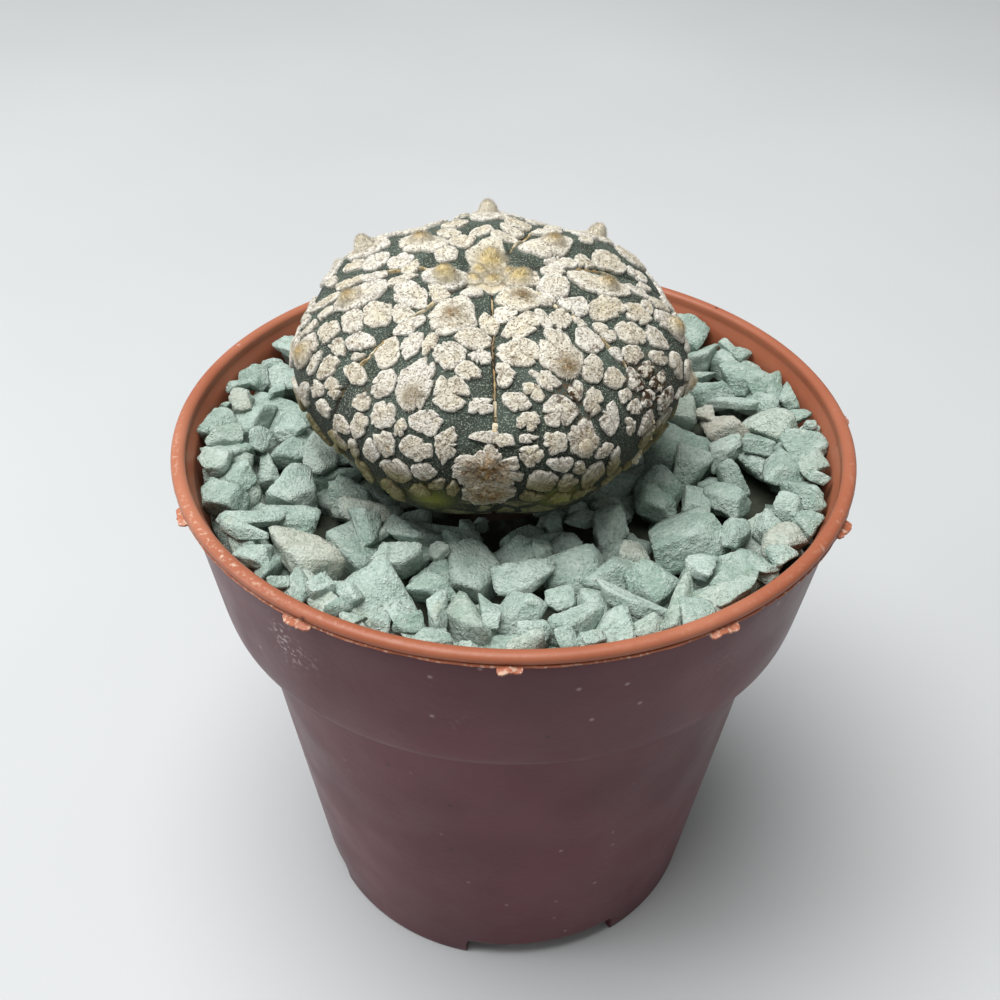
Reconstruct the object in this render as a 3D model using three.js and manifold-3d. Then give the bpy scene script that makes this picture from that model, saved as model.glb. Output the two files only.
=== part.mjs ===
// A potted star cactus: a seven-ribbed stem covered in raised felt flecks, in a small nursery pot topped with
// mineral chips. Millimetres, +Z up, origin on the ground under the middle of the pot. The front looks along -Y.
import * as THREE from "three";
import { mergeVertices } from "three/addons/utils/BufferGeometryUtils.js";
import { ConvexGeometry } from "three/addons/geometries/ConvexGeometry.js";
import Module from "manifold-3d";

const wasm = await Module();
wasm.setup();

// Driving dimensions of the pot
const rimRadius = 27.5;
const potHeight = 48.5;
const lipHeight = 1.3;
const lipWidth = 1.25;
const wall = 0.9;
const collarBottomRadius = 25.03;
const collarBottom = 34.96;
const bodyTopRadius = 22.95;
const footRadius = 18.37;
const recessDepth = 2.6;
const potSides = 48;
const notchHeight = 2.3;
const notchSpan = 44;
const notchMiddle = 281;
const notchCount = 4;
const drainRadius = 2.3;
const drainCircle = 12.4;

// Thin moulding tabs under the lip: eleven at an even step, the last gap wider
const tabCount = 11;
const tabStart = 206.5;
const tabStep = 31.5;
const tabLength = 2.2;
const tabOut = 0.55;
const tabThickness = 0.4;
const tabHeight = 47.35;

// Driving dimensions of the filling
const clearance = 0.35;
const soilTop = 40.9;
const gravelBottom = 41.25;
const bedTop = 43;
const heapFloor = 41.4;
const heapMiddle = 45.1;
const heapPeak = 47.9;
const wallLift = 2.0;
const dipAzimuth = 58;
const dipDepth = 0.7;
const dipSpread = 38;

// Driving dimensions of the cactus, in the stem's own frame, whose origin is the middle of its widest ring
const stemX = -1.93;
const stemZ = 55.4;
const stemLean = 0.095;
const stemRadius = 15.35;
const crownHeight = 7.2;
const bellyHeight = 10.3;
const bellyFullness = 0.68;
const ribCount = 7;
const frontFurrow = 272.2;
const ribSwell = 0.55;
const creaseDepth = 0.5;
const creaseWidth = 0.45;
const dimpleDepth = 1.2;
const dimpleRadius = 2.6;
const neckRadius = 5;
const rootLength = 22;
const rootTipRadius = 0.9;
const rootRings = 5;
const rootSides = 14;
const fleckHeight = 0.34;
const fleckCrown = 0.1;
const fleckSides = 8;
const fleckFoot = 0.13;
const fleckGap = 0.36;
const lowestFleck = 114;

const degree = Math.PI / 180;

// A repeatable draw between 0 and 1
function makeRandom(seed) {
  let state = seed;
  return () => {
    state = (state * 48271) % 2147483647;
    return state / 2147483647;
  };
}

// Joins and cuts

function toSolid(geometry) {
  const bare = geometry.index ? geometry.toNonIndexed() : geometry.clone();
  bare.deleteAttribute("normal");
  bare.deleteAttribute("uv");
  const merged = mergeVertices(bare, 1e-4);
  return new wasm.Manifold(
    new wasm.Mesh({
      numProp: 3,
      vertProperties: new Float32Array(merged.attributes.position.array),
      triVerts: new Uint32Array(merged.index.array),
    }),
  );
}

function toGeometry(solid) {
  const mesh = solid.getMesh();
  const positions = new Float32Array(mesh.numVert * 3);
  for (let i = 0; i < mesh.numVert; i++) {
    positions.set(mesh.vertProperties.subarray(i * mesh.numProp, i * mesh.numProp + 3), i * 3);
  }
  const geometry = new THREE.BufferGeometry();
  geometry.setAttribute("position", new THREE.BufferAttribute(positions, 3));
  geometry.setIndex(new THREE.BufferAttribute(new Uint32Array(mesh.triVerts), 1));
  geometry.computeVertexNormals();
  return geometry;
}

// The largest connected body of a solid, so that no loose scrap stays
function largestBody(solid) {
  const bodies = solid.decompose();
  bodies.sort((a, b) => b.volume() - a.volume());
  return bodies[0];
}

// A turned profile of [radius, height] points, with the axis along +Z
function turned(profile, sides) {
  const points = profile.map(([radius, height]) => new THREE.Vector2(radius, height));
  const geometry = new THREE.LatheGeometry(points, sides);
  geometry.rotateX(Math.PI / 2);
  return geometry;
}

// The pot

// Inner radius of the pot's wall at a height, below the lip
function innerRadius(height) {
  const step = collarBottom + wall;
  if (height > step) {
    const share = (height - collarBottom) / (potHeight - collarBottom);
    return collarBottomRadius + (rimRadius - 0.5 - collarBottomRadius) * share - wall;
  }
  const share = height / collarBottom;
  return footRadius + (bodyTopRadius - footRadius) * share - wall;
}

function potProfile() {
  const lipFoot = potHeight - lipHeight;
  const floorTop = recessDepth + wall;
  const step = collarBottom + wall;
  const collarTop = innerRadius(lipFoot) + wall;
  return [
    [0, recessDepth],
    [innerRadius(recessDepth), recessDepth],
    [footRadius - wall, 0],
    [footRadius, 0],
    [bodyTopRadius, collarBottom],
    [collarBottomRadius, collarBottom + 0.05],
    [collarBottomRadius + 0.08, collarBottom + 0.4],
    [collarTop, lipFoot - 0.15],
    [rimRadius - 0.08, lipFoot],
    [rimRadius, lipFoot + 0.6],
    [rimRadius - 0.14, potHeight - 0.2],
    [rimRadius - 0.42, potHeight],
    [rimRadius - lipWidth + 0.4, potHeight],
    [rimRadius - lipWidth + 0.05, potHeight - 0.3],
    [innerRadius(lipFoot), lipFoot - 0.3],
    [innerRadius(step + 0.3), step + 0.3],
    [innerRadius(step - 0.1), step - 0.1],
    [innerRadius(floorTop + 1.2), floorTop + 1.2],
    [innerRadius(floorTop) - 1, floorTop],
    [0, floorTop],
  ];
}

// A block over a sector of the standing ring, which opens a notch in it
function notchCutter(middle) {
  const outer = footRadius + 3;
  const inner = footRadius - 4;
  const half = (notchSpan / 2) * degree;
  const shape = new THREE.Shape();
  shape.absarc(0, 0, outer, -half, half, false);
  shape.absarc(0, 0, inner, half, -half, true);
  shape.closePath();
  const block = new THREE.ExtrudeGeometry(shape, { depth: notchHeight + 1, bevelEnabled: false, curveSegments: 8 });
  block.translate(0, 0, -1);
  block.rotateZ(middle * degree);
  return block;
}

function drainCutter(radius, x, y) {
  const hole = new THREE.CylinderGeometry(radius, radius, 4, 16);
  hole.rotateX(Math.PI / 2);
  hole.translate(x, y, recessDepth + wall / 2);
  return hole;
}

function tabBlock(azimuth) {
  const tab = new THREE.BoxGeometry(tabOut + 0.5, tabLength, tabThickness);
  tab.translate(rimRadius + (tabOut - 0.5) / 2 - 0.06, 0, tabHeight);
  tab.rotateZ(azimuth * degree);
  return tab;
}

function makePot() {
  let pot = toSolid(turned(potProfile(), potSides));
  for (let i = 0; i < notchCount; i++) {
    const azimuth = notchMiddle + (i * 360) / notchCount;
    pot = pot.subtract(toSolid(notchCutter(azimuth)));
    const x = drainCircle * Math.cos(azimuth * degree);
    const y = drainCircle * Math.sin(azimuth * degree);
    pot = pot.subtract(toSolid(drainCutter(drainRadius, x, y)));
  }
  pot = pot.subtract(toSolid(drainCutter(drainRadius, 0, 0)));
  for (let i = 0; i < tabCount; i++) {
    pot = pot.add(toSolid(tabBlock(tabStart + i * tabStep)));
  }
  return toGeometry(largestBody(pot));
}

// The stem's surface

const neckAngle = 180 - Math.asin(Math.pow(neckRadius / stemRadius, 1 / bellyFullness)) / degree;
const rootSpan = 60;
const bellyRings = [
  [118, 28],
  [127, 28],
  [137, 28],
  [148, 20],
  [159, 14],
  [neckAngle, rootSides],
];
const meridianStep = 0.5;

// Radius and height on the stem's meridian: the polar angle from the crown down to the neck, then the taproot
function meridian(angle) {
  if (angle <= neckAngle) {
    const height = angle < 90 ? crownHeight : bellyHeight;
    const fullness = angle < 90 ? 1 : bellyFullness;
    return [stemRadius * Math.pow(Math.sin(angle * degree), fullness), height * Math.cos(angle * degree)];
  }
  const share = (angle - neckAngle) / rootSpan;
  const neckHeight = bellyHeight * Math.cos(neckAngle * degree);
  const radius = neckRadius + (rootTipRadius - neckRadius) * Math.pow(share, 0.8);
  return [radius, neckHeight - rootLength * share];
}

// A flat map of the stem that keeps shapes: for each polar angle, the distance from the map's middle
const mapAngles = [];
const mapDistances = [];
function fillMap() {
  let [lastRadius, lastHeight] = meridian(meridianStep);
  let logDistance = Math.log(lastRadius);
  for (let angle = meridianStep; angle <= neckAngle + rootSpan; angle += meridianStep) {
    const [radius, height] = meridian(angle);
    const run = Math.hypot(radius - lastRadius, height - lastHeight);
    logDistance += (2 * run) / (radius + lastRadius);
    mapAngles.push(angle);
    mapDistances.push(Math.exp(logDistance));
    lastRadius = radius;
    lastHeight = height;
  }
}
fillMap();

function mapDistance(angle) {
  if (angle <= mapAngles[0]) {
    return (mapDistances[0] * angle) / mapAngles[0];
  }
  const place = Math.min((angle - mapAngles[0]) / meridianStep, mapAngles.length - 1.001);
  const low = Math.floor(place);
  return mapDistances[low] + (mapDistances[low + 1] - mapDistances[low]) * (place - low);
}

function mapAngle(distance) {
  if (distance <= mapDistances[0]) {
    return (mapAngles[0] * distance) / mapDistances[0];
  }
  let low = 0;
  let high = mapDistances.length - 1;
  while (high - low > 1) {
    const middle = (low + high) >> 1;
    if (mapDistances[middle] <= distance) {
      low = middle;
    } else {
      high = middle;
    }
  }
  const share = (distance - mapDistances[low]) / (mapDistances[high] - mapDistances[low]);
  return mapAngles[low] + (mapAngles[high] - mapAngles[low]) * Math.min(share, 1);
}

// Degrees from the nearest furrow, with its sign
function fromFurrow(azimuth) {
  const pitch = 360 / ribCount;
  const turns = (azimuth - frontFurrow) / pitch;
  return (turns - Math.round(turns)) * pitch;
}

// A point of the stem at an azimuth and a polar angle, raised by a height over the skin; creased tells whether
// the narrow crease of the furrow shows there
function stemPoint(azimuth, angle, raised, creased) {
  const [radius, height] = meridian(angle);
  const [radiusBelow, heightBelow] = meridian(angle + 0.2);
  const [radiusAbove, heightAbove] = meridian(Math.max(angle - 0.2, 0));
  let outward = heightAbove - heightBelow;
  let upward = radiusBelow - radiusAbove;
  const size = Math.hypot(outward, upward);
  outward /= size;
  upward /= size;
  const belly = angle > neckAngle ? 0 : Math.min(1, (neckAngle - angle) / 40);
  const fade = Math.min(1, radius / 6) * belly;
  const away = fromFurrow(azimuth) * degree;
  let lift = (-ribSwell * fade * (1 + Math.cos(away * ribCount))) / 2 + raised;
  if (creased) {
    lift -= creaseDepth * fade * Math.exp(-(((radius * away) / creaseWidth) ** 2));
  }
  const dimple = angle < 90 ? dimpleDepth * Math.exp(-((radius / dimpleRadius) ** 2)) : 0;
  const across = radius + outward * lift;
  return [
    across * Math.cos(azimuth * degree),
    across * Math.sin(azimuth * degree),
    height + upward * lift - dimple,
  ];
}

// The flecks of felt

// Areoles, rib by rib from the front right rib round to the front left one: azimuth and polar angle of the felt pad,
// its length and width, the turn of its length from the downhill line, and the polar angle of its wool tuft
const areoles = [
  [303, 16, 3.6, 2.9, 85, 15.5],
  [300, 39.8, 4.5, 3.1, 0, 45.5],
  [296.3, 75.3, 3.1, 2.1, 0, 79],
  [335, 9.5, 2.5, 2.1, 0, 8.5],
  [357, 32, 4.5, 2.9, 0, 34.5],
  [353, 62, 3.8, 2.1, 0, 65],
  [348, 93, 3.2, 2.2, 0, 95],
  [42, 22, 4.2, 3.0, 0, 24.5],
  [47, 51, 4.1, 2.8, 0, 53],
  [43, 82, 3.6, 2.4, 0, 85],
  [92, 9, 3.4, 3.2, 0, 5.5],
  [92, 43, 4.3, 2.9, 0, 47],
  [95, 76, 3.9, 2.5, 0, 79],
  [140, 26, 4.2, 3.0, 0, 27.5],
  [148, 48, 4.1, 2.7, 0, 50.5],
  [143, 82, 3.7, 2.4, 0, 85],
  [197, 13.5, 3.4, 2.6, 0, 13],
  [189.5, 39.5, 4.8, 3.0, 0, 43.5],
  [199, 68, 3.4, 2.2, 0, 70.5],
  [244, 24, 3.9, 3.3, 30, 24],
  [246, 51.5, 4.8, 2.7, 0, 56.5],
];
const woolRadius = 0.85;
const woolHeight = 1.1;
const crownWoolRadius = 1.15;

// The flecks that the front shows plainly, each as azimuth, polar angle, length, width and turn of its length
const plainFlecks = [
  // Beside the front furrow, from the crown down
  [269.4, 23.7, 2.1, 1.25, 15], [281.3, 20.7, 1.7, 1.4, 95], [261.3, 30, 3.1, 1.8, 95],
  [289.7, 26.6, 3.4, 1.8, 97], [265.8, 36.4, 2.4, 1.1, 90], [253.3, 38, 2.7, 1.9, 100],
  [283.3, 35.6, 3.3, 2.0, 65], [261.4, 42, 2.8, 1.25, 95], [275.3, 42.8, 1.8, 1.5, 10],
  [257, 51.5, 3.0, 2.4, 120], [290, 47.5, 3.2, 1.3, 52], [285.4, 50.6, 2.1, 1.1, 50],
  [267.6, 55, 2.5, 1.1, 102], [280, 54, 2.5, 1.35, 65], [281.8, 62.5, 1.9, 1.7, 60],
  [291.3, 61, 2.6, 2.4, 10], [281.2, 69.8, 1.8, 1.1, 80], [281.8, 78, 1.9, 1.7, 150],
  [272, 69.8, 4.4, 1.15, 88], [270.6, 87.5, 5.3, 4.0, 90], [270, 103, 4.4, 3.0, 90],
  // The front right rib
  [304, 26.5, 1.8, 1.4, 0], [314, 28.3, 2.9, 1.6, 100], [317.6, 39.6, 2.4, 2.1, 0],
  [309.4, 49.6, 2.5, 1.7, 125], [298.6, 55, 2.0, 1.1, 175], [303.1, 62, 2.5, 1.7, 0],
  [306, 69, 2.7, 1.7, 170], [288.5, 73.5, 1.85, 1.7, 0], [314.8, 57, 2.3, 1.8, 20],
  [315.2, 65, 1.9, 1.1, 170], [316.3, 72, 1.8, 1.3, 160], [312.8, 80, 1.6, 1.0, 170],
  [301.8, 86.5, 3.1, 0.95, 110], [288.8, 87, 2.3, 1.3, 105], [294.6, 91, 1.5, 0.95, 170],
  [305.8, 97.5, 3.4, 1.25, 0], [299.1, 98.5, 3.4, 1.7, 140], [285.5, 95.5, 3.0, 2.4, 120],
  [291.5, 98, 2.0, 1.6, 100], [282.5, 105, 3.4, 1.1, 105], [297.5, 108, 2.6, 1.0, 100],
  [290.5, 108.5, 2.2, 1.1, 95], [307.5, 107, 1.8, 1.1, 100],
  // The right rib
  [338, 19.2, 2.4, 1.9, 90], [320, 19.8, 1.8, 0.9, 60], [330, 27.8, 2.1, 1.7, 20],
  [340, 36.3, 3.0, 1.9, 50], [322.5, 32.5, 1.9, 0.6, 5], [327.5, 41, 2.0, 1.1, 20],
  [346.5, 47, 2.6, 1.8, 35], [335.2, 48.2, 2.6, 1.6, 25], [323.3, 49.7, 1.5, 0.8, 0],
  [328.2, 54, 1.9, 1.6, 60], [353, 50.5, 1.8, 1.2, 90], [341, 58, 2.6, 1.5, 0],
  [335.5, 63, 2.2, 1.3, 60], [328.5, 62.5, 2.4, 1.4, 110], [322.5, 62.5, 2.2, 1.5, 120],
  [329, 71, 2.8, 1.4, 125], [340.5, 73, 2.4, 1.3, 0], [323, 74.5, 3.0, 1.3, 120],
  [321.5, 87, 3.2, 1.7, 125], [329.5, 84, 2.6, 1.8, 120], [322, 98, 2.6, 1.5, 130],
  [330, 98, 2.6, 1.5, 120], [18, 21, 2.6, 1.3, 0], [0, 17.5, 1.9, 1.6, 90],
  [3, 47, 2.2, 1.3, 0], [1, 57, 2.4, 1.4, 0],
  // The front left rib
  [224.2, 32, 2.7, 1.4, 170], [235, 38.6, 2.5, 1.8, 12], [243, 36.8, 2.1, 1.1, 0],
  [227.8, 44, 2.7, 2.0, 30], [234.5, 55.5, 2.4, 1.8, 5], [252, 65, 2.6, 1.9, 118],
  [245.7, 70, 1.75, 0.9, 170], [239, 67.5, 2.5, 2.0, 0], [241.6, 81, 2.1, 1.8, 30],
  [237.5, 89.5, 2.1, 1.5, 150], [251, 77.5, 2.3, 2.0, 90], [253.3, 91, 1.8, 1.6, 45],
  [256.5, 97, 1.6, 1.1, 100], [258.8, 73.5, 3.9, 1.6, 172], [261, 99.5, 1.9, 1.2, 0],
  [245, 94, 2.6, 2.1, 60], [252, 103, 2.2, 1.3, 90], [230.4, 67.5, 1.7, 1.6, 0],
  [232, 77, 2.6, 1.4, 175], [230, 94.5, 2.2, 1.0, 0], [221.7, 58, 2.5, 1.3, 85],
  // The left rib
  [206.5, 25.3, 3.2, 1.9, 100], [215.5, 17.8, 2.1, 1.2, 80], [214.2, 30.8, 2.0, 1.5, 90],
  [207.8, 36.6, 2.8, 2.0, 110], [203.3, 45.3, 2.3, 1.8, 90], [212.6, 48, 2.8, 1.5, 115],
  [200.6, 55.5, 2.4, 1.8, 15], [209, 55.3, 2.3, 1.3, 100], [211, 64.3, 2.9, 1.3, 0],
  [217.5, 52, 1.7, 0.6, 150], [205, 67, 2.2, 1.0, 15], [189, 25.8, 2.6, 1.2, 10],
  [218.5, 70, 2.8, 1.2, 88], [211.7, 77, 1.6, 1.1, 0], [216.5, 85, 2.0, 1.3, 80],
  [224, 86.5, 2.3, 1.5, 88], [222, 99, 2.4, 1.2, 90], [190, 54.5, 1.9, 1.1, 0],
  [191.5, 63, 2.0, 1.2, 0], [181, 55, 3.2, 1.3, 0], [173, 46, 3.0, 1.2, 0],
  [173, 36, 2.6, 1.2, 0], [170, 24, 1.9, 1.3, 90], [163, 28.5, 2.0, 1.8, 0],
  [160, 39, 2.3, 1.8, 20], [160, 48, 2.0, 1.2, 0],
  // Behind the crown
  [118, 19.5, 2.2, 1.7, 0], [118, 29, 2.2, 1.6, 0], [98, 22, 1.8, 1.4, 90], [80, 19, 1.8, 1.3, 90],
];

// The seeded flecks that fill the rest, in rounds of length range, width share range and number of tries
const fleckRounds = [
  [2.5, 3.3, 0.55, 0.8, 900],
  [1.9, 2.5, 0.6, 0.9, 2200],
  [1.2, 1.7, 0.6, 0.95, 3200],
];
const fleckSeed = 20417;

// Bare skin that takes no seeded fleck: azimuth, polar angle and radius
const bareSpots = [
  [314.5, 96, 1.9],
  [254, 110, 1.0],
];

function makeFleck(azimuth, angle, length, width, turn) {
  return {
    azimuth,
    angle,
    length: length / 2,
    width: width / 2,
    turn: turn * degree,
    middle: stemPoint(azimuth, angle, 0, false),
    tuft: null,
  };
}

// Half the size of a fleck in a direction of its own map: 0 is downhill, a quarter turn is towards larger azimuths
function reach(fleck, direction) {
  const along = Math.cos(direction - fleck.turn) / fleck.length;
  const across = Math.sin(direction - fleck.turn) / fleck.width;
  return 1 / Math.hypot(along, across);
}

function spacing(a, b) {
  const [dx, dy, dz] = [a.middle[0] - b.middle[0], a.middle[1] - b.middle[1], a.middle[2] - b.middle[2]];
  return Math.sqrt(dx * dx + dy * dy + dz * dz);
}

function meanSize(fleck) {
  return Math.sqrt(fleck.length * fleck.width);
}

function placeFlecks() {
  const flecks = [];
  for (const [azimuth, angle, length, width, turn, wool] of areoles) {
    const pad = makeFleck(azimuth, angle, length, width, turn);
    pad.tuft = wool;
    flecks.push(pad);
  }
  for (const [azimuth, angle, length, width, turn] of plainFlecks) {
    flecks.push(makeFleck(azimuth, angle, length, width, turn));
  }
  const random = makeRandom(fleckSeed);
  for (const [shortest, longest, slimmest, widest, tries] of fleckRounds) {
    for (let i = 0; i < tries; i++) {
      const azimuth = random() * 360;
      const angle = 9 + random() * (lowestFleck - 9);
      const length = shortest + random() * (longest - shortest);
      const width = length * (slimmest + random() * (widest - slimmest));
      const turn = random() * 180;
      const chance = random();
      if (chance > Math.sin(angle * degree)) {
        continue;
      }
      const fleck = makeFleck(azimuth, angle, length, width, turn);
      const gap = 0.2 + 0.25 * Math.min(1, angle / 90);
      const edge = (Math.abs(fromFurrow(azimuth)) * degree * meridian(angle)[0]) / meanSize(fleck);
      const clear = flecks.every((other) => spacing(fleck, other) > meanSize(fleck) + meanSize(other) + gap);
      const bare = bareSpots.some(
        ([spotAzimuth, spotAngle, radius]) =>
          spacing(fleck, { middle: stemPoint(spotAzimuth, spotAngle, 0, false) }) < radius + meanSize(fleck),
      );
      if (clear && !bare && edge > 0.75) {
        flecks.push(fleck);
      }
    }
  }
  return flecks;
}

// The outline of a fleck as offsets from its middle, downhill and sideways: an uneven oval that keeps a gap to its
// neighbours and to a furrow beside it
function fleckOutline(fleck, flecks, sides, gap, random) {
  const phases = [random() * 6.2832, random() * 6.2832, random() * 6.2832];
  const [radius] = meridian(fleck.angle);
  const scale = mapDistance(fleck.angle) / radius;
  const here = mapPlace(fleck.azimuth, fleck.angle);
  const neighbours = [];
  for (const other of flecks) {
    if (other === fleck || spacing(fleck, other) > fleck.length + other.length + 1) {
      continue;
    }
    const there = mapPlace(other.azimuth, other.angle);
    const [east, down] = mapTurned(there[0] - here[0], there[1] - here[1], fleck.azimuth);
    const distance = Math.hypot(east, down) / scale;
    const direction = Math.atan2(east, down);
    const own = reach(fleck, direction);
    const others = reach(other, direction + (fleck.azimuth - other.azimuth) * degree);
    neighbours.push({ direction, limit: (distance * own) / (own + others) - gap / 2 });
  }
  const furrowAway = fromFurrow(fleck.azimuth) * degree * radius;
  const points = [];
  for (let i = 0; i < sides; i++) {
    const direction = (i / sides) * 2 * Math.PI;
    const lobes =
      1 +
      0.07 * Math.cos(2 * direction + phases[0]) +
      0.06 * Math.cos(3 * direction + phases[1]) +
      0.04 * Math.cos(5 * direction + phases[2]);
    let size = reach(fleck, direction) * lobes;
    for (const neighbour of neighbours) {
      const facing = Math.cos(direction - neighbour.direction);
      if (facing > 0.05) {
        size = Math.min(size, Math.max(neighbour.limit, 0.25) / facing);
      }
    }
    const sideways = Math.sin(direction) * Math.sign(-furrowAway);
    if (Math.abs(furrowAway) > 0.5 && sideways > 0.05) {
      size = Math.min(size, Math.max(Math.abs(furrowAway) - 0.22, 0.3) / sideways);
    }
    points.push([size * Math.cos(direction), size * Math.sin(direction)]);
  }
  return points;
}

// The flat map

function mapPlace(azimuth, angle) {
  const distance = mapDistance(angle);
  return [distance * Math.cos(azimuth * degree), distance * Math.sin(azimuth * degree)];
}

// A step on the map as sideways and downhill parts at an azimuth
function mapTurned(x, y, azimuth) {
  const cos = Math.cos(azimuth * degree);
  const sin = Math.sin(azimuth * degree);
  return [y * cos - x * sin, x * cos + y * sin];
}

// Azimuth and polar angle of the point that lies down and sideways millimetres from a fleck's middle
function stepFrom(fleck, down, sideways) {
  const [radius] = meridian(fleck.angle);
  const scale = mapDistance(fleck.angle) / radius;
  const [x, y] = mapPlace(fleck.azimuth, fleck.angle);
  const cos = Math.cos(fleck.azimuth * degree);
  const sin = Math.sin(fleck.azimuth * degree);
  const px = x + scale * (down * cos - sideways * sin);
  const py = y + scale * (down * sin + sideways * cos);
  return [Math.atan2(py, px) / degree, mapAngle(Math.hypot(px, py))];
}

// Triangles between points of the plane, by the empty-circle rule
function triangulate(points) {
  const far = 30 * Math.max(...points.map(([x, y]) => Math.hypot(x, y)));
  const all = points.concat([[-far, -far], [far, -far], [0, far]]);
  const count = points.length;
  let faces = [circled(all, count, count + 1, count + 2)];
  const order = points.map((point, index) => index).sort((a, b) => points[a][0] - points[b][0]);
  const done = [];
  for (const index of order) {
    const edges = new Map();
    const kept = [];
    for (const face of faces) {
      if (face.rightmost < points[index][0]) {
        done.push(face);
        continue;
      }
      if (!insideCircle(all, face.corners, index)) {
        kept.push(face);
        continue;
      }
      const [a, b, c] = face.corners;
      for (const [from, to] of [[a, b], [b, c], [c, a]]) {
        const back = to * (count + 3) + from;
        if (edges.has(back)) {
          edges.delete(back);
        } else {
          edges.set(from * (count + 3) + to, [from, to]);
        }
      }
    }
    for (const [from, to] of edges.values()) {
      kept.push(circled(all, from, to, index));
    }
    faces = kept;
  }
  return done
    .concat(faces)
    .map((face) => face.corners)
    .filter((corners) => Math.max(...corners) < count);
}

// A triangle with the rightmost place of the circle through its corners
function circled(points, a, b, c) {
  const [ax, ay] = points[a];
  const bx = points[b][0] - ax;
  const by = points[b][1] - ay;
  const cx = points[c][0] - ax;
  const cy = points[c][1] - ay;
  const area = 2 * (bx * cy - by * cx);
  const ux = (cy * (bx * bx + by * by) - by * (cx * cx + cy * cy)) / area;
  const uy = (bx * (cx * cx + cy * cy) - cx * (bx * bx + by * by)) / area;
  const radius = Math.hypot(ux, uy);
  return { corners: [a, b, c], rightmost: ax + ux + radius * 1.0001 + 0.001 };
}

// Whether a point lies inside the circle through three corners that run anticlockwise
function insideCircle(points, [a, b, c], index) {
  const [x, y] = points[index];
  const [ax, ay] = [points[a][0] - x, points[a][1] - y];
  const [bx, by] = [points[b][0] - x, points[b][1] - y];
  const [cx, cy] = [points[c][0] - x, points[c][1] - y];
  const [aa, bb, cc] = [ax * ax + ay * ay, bx * bx + by * by, cx * cx + cy * cy];
  return ax * (by * cc - bb * cy) - ay * (bx * cc - bb * cx) + aa * (bx * cy - by * cx) > 0;
}

// The cactus

function makeCactus() {
  const flecks = placeFlecks();
  const random = makeRandom(fleckSeed + 1);
  const places = [];
  const positions = [];
  const taken = [];
  const addPoint = (azimuth, angle, raised, creased) => {
    places.push(mapPlace(azimuth, angle));
    positions.push(...stemPoint(azimuth, angle, raised, creased));
  };
  for (const fleck of flecks) {
    const outline = fleckOutline(fleck, flecks, fleckSides, fleckGap, random);
    for (const [down, sideways] of outline) {
      const size = Math.hypot(down, sideways);
      const out = (size + fleckFoot) / size;
      addPoint(...stepFrom(fleck, down, sideways), fleckHeight, false);
      addPoint(...stepFrom(fleck, down * out, sideways * out), 0, true);
    }
    if (fleck.tuft === null) {
      addPoint(fleck.azimuth, fleck.angle, fleckHeight + fleckCrown, false);
    } else {
      addTuft(fleck, addPoint);
    }
    taken.push({ fleck, outline });
  }
  addSkin(taken, addPoint);
  for (const [angle, count] of bellyRings) {
    for (let i = 0; i < count; i++) {
      addPoint(frontFurrow + (i / count) * 360, angle, 0, false);
    }
  }
  const faces = triangulate(places);
  addRoot(faces, positions);
  const geometry = new THREE.BufferGeometry();
  geometry.setAttribute("position", new THREE.Float32BufferAttribute(positions, 3));
  geometry.setIndex(faces.flat());
  geometry.computeVertexNormals();
  return geometry;
}

// The taproot: rings of points that go on from the neck, the last of which closes in a tip
function addRoot(faces, positions) {
  for (let ring = 1; ring <= rootRings; ring++) {
    const above = positions.length / 3 - rootSides;
    for (let i = 0; i < rootSides; i++) {
      positions.push(...stemPoint(frontFurrow + (i / rootSides) * 360, neckAngle + (rootSpan * ring) / rootRings, 0));
    }
    for (let i = 0; i < rootSides; i++) {
      const next = (i + 1) % rootSides;
      faces.push([above + i, above + rootSides + i, above + next]);
      faces.push([above + next, above + rootSides + i, above + rootSides + next]);
    }
  }
  const tip = positions.length / 3;
  positions.push(0, 0, bellyHeight * Math.cos(neckAngle * degree) - rootLength - 0.4);
  for (let i = 0; i < rootSides; i++) {
    faces.push([tip - rootSides + i, tip, tip - rootSides + ((i + 1) % rootSides)]);
  }
}

// The wool of an areole: a ring on the pad and a blunt tip over it
function addTuft(pad, addPoint) {
  const crown = pad.tuft < 20;
  const radius = crown ? crownWoolRadius : woolRadius;
  const root = { azimuth: pad.azimuth, angle: pad.tuft };
  const sides = 6;
  for (let i = 0; i < sides; i++) {
    const direction = (i / sides) * 2 * Math.PI;
    const down = radius * Math.cos(direction);
    const sideways = radius * Math.sin(direction);
    addPoint(...stepFrom(root, down * 0.65, sideways * 0.65), fleckHeight + woolHeight * 0.78, false);
    addPoint(...stepFrom(root, down, sideways), fleckHeight + 0.15, false);
  }
  addPoint(root.azimuth, root.angle, fleckHeight + woolHeight, false);
}

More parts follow.
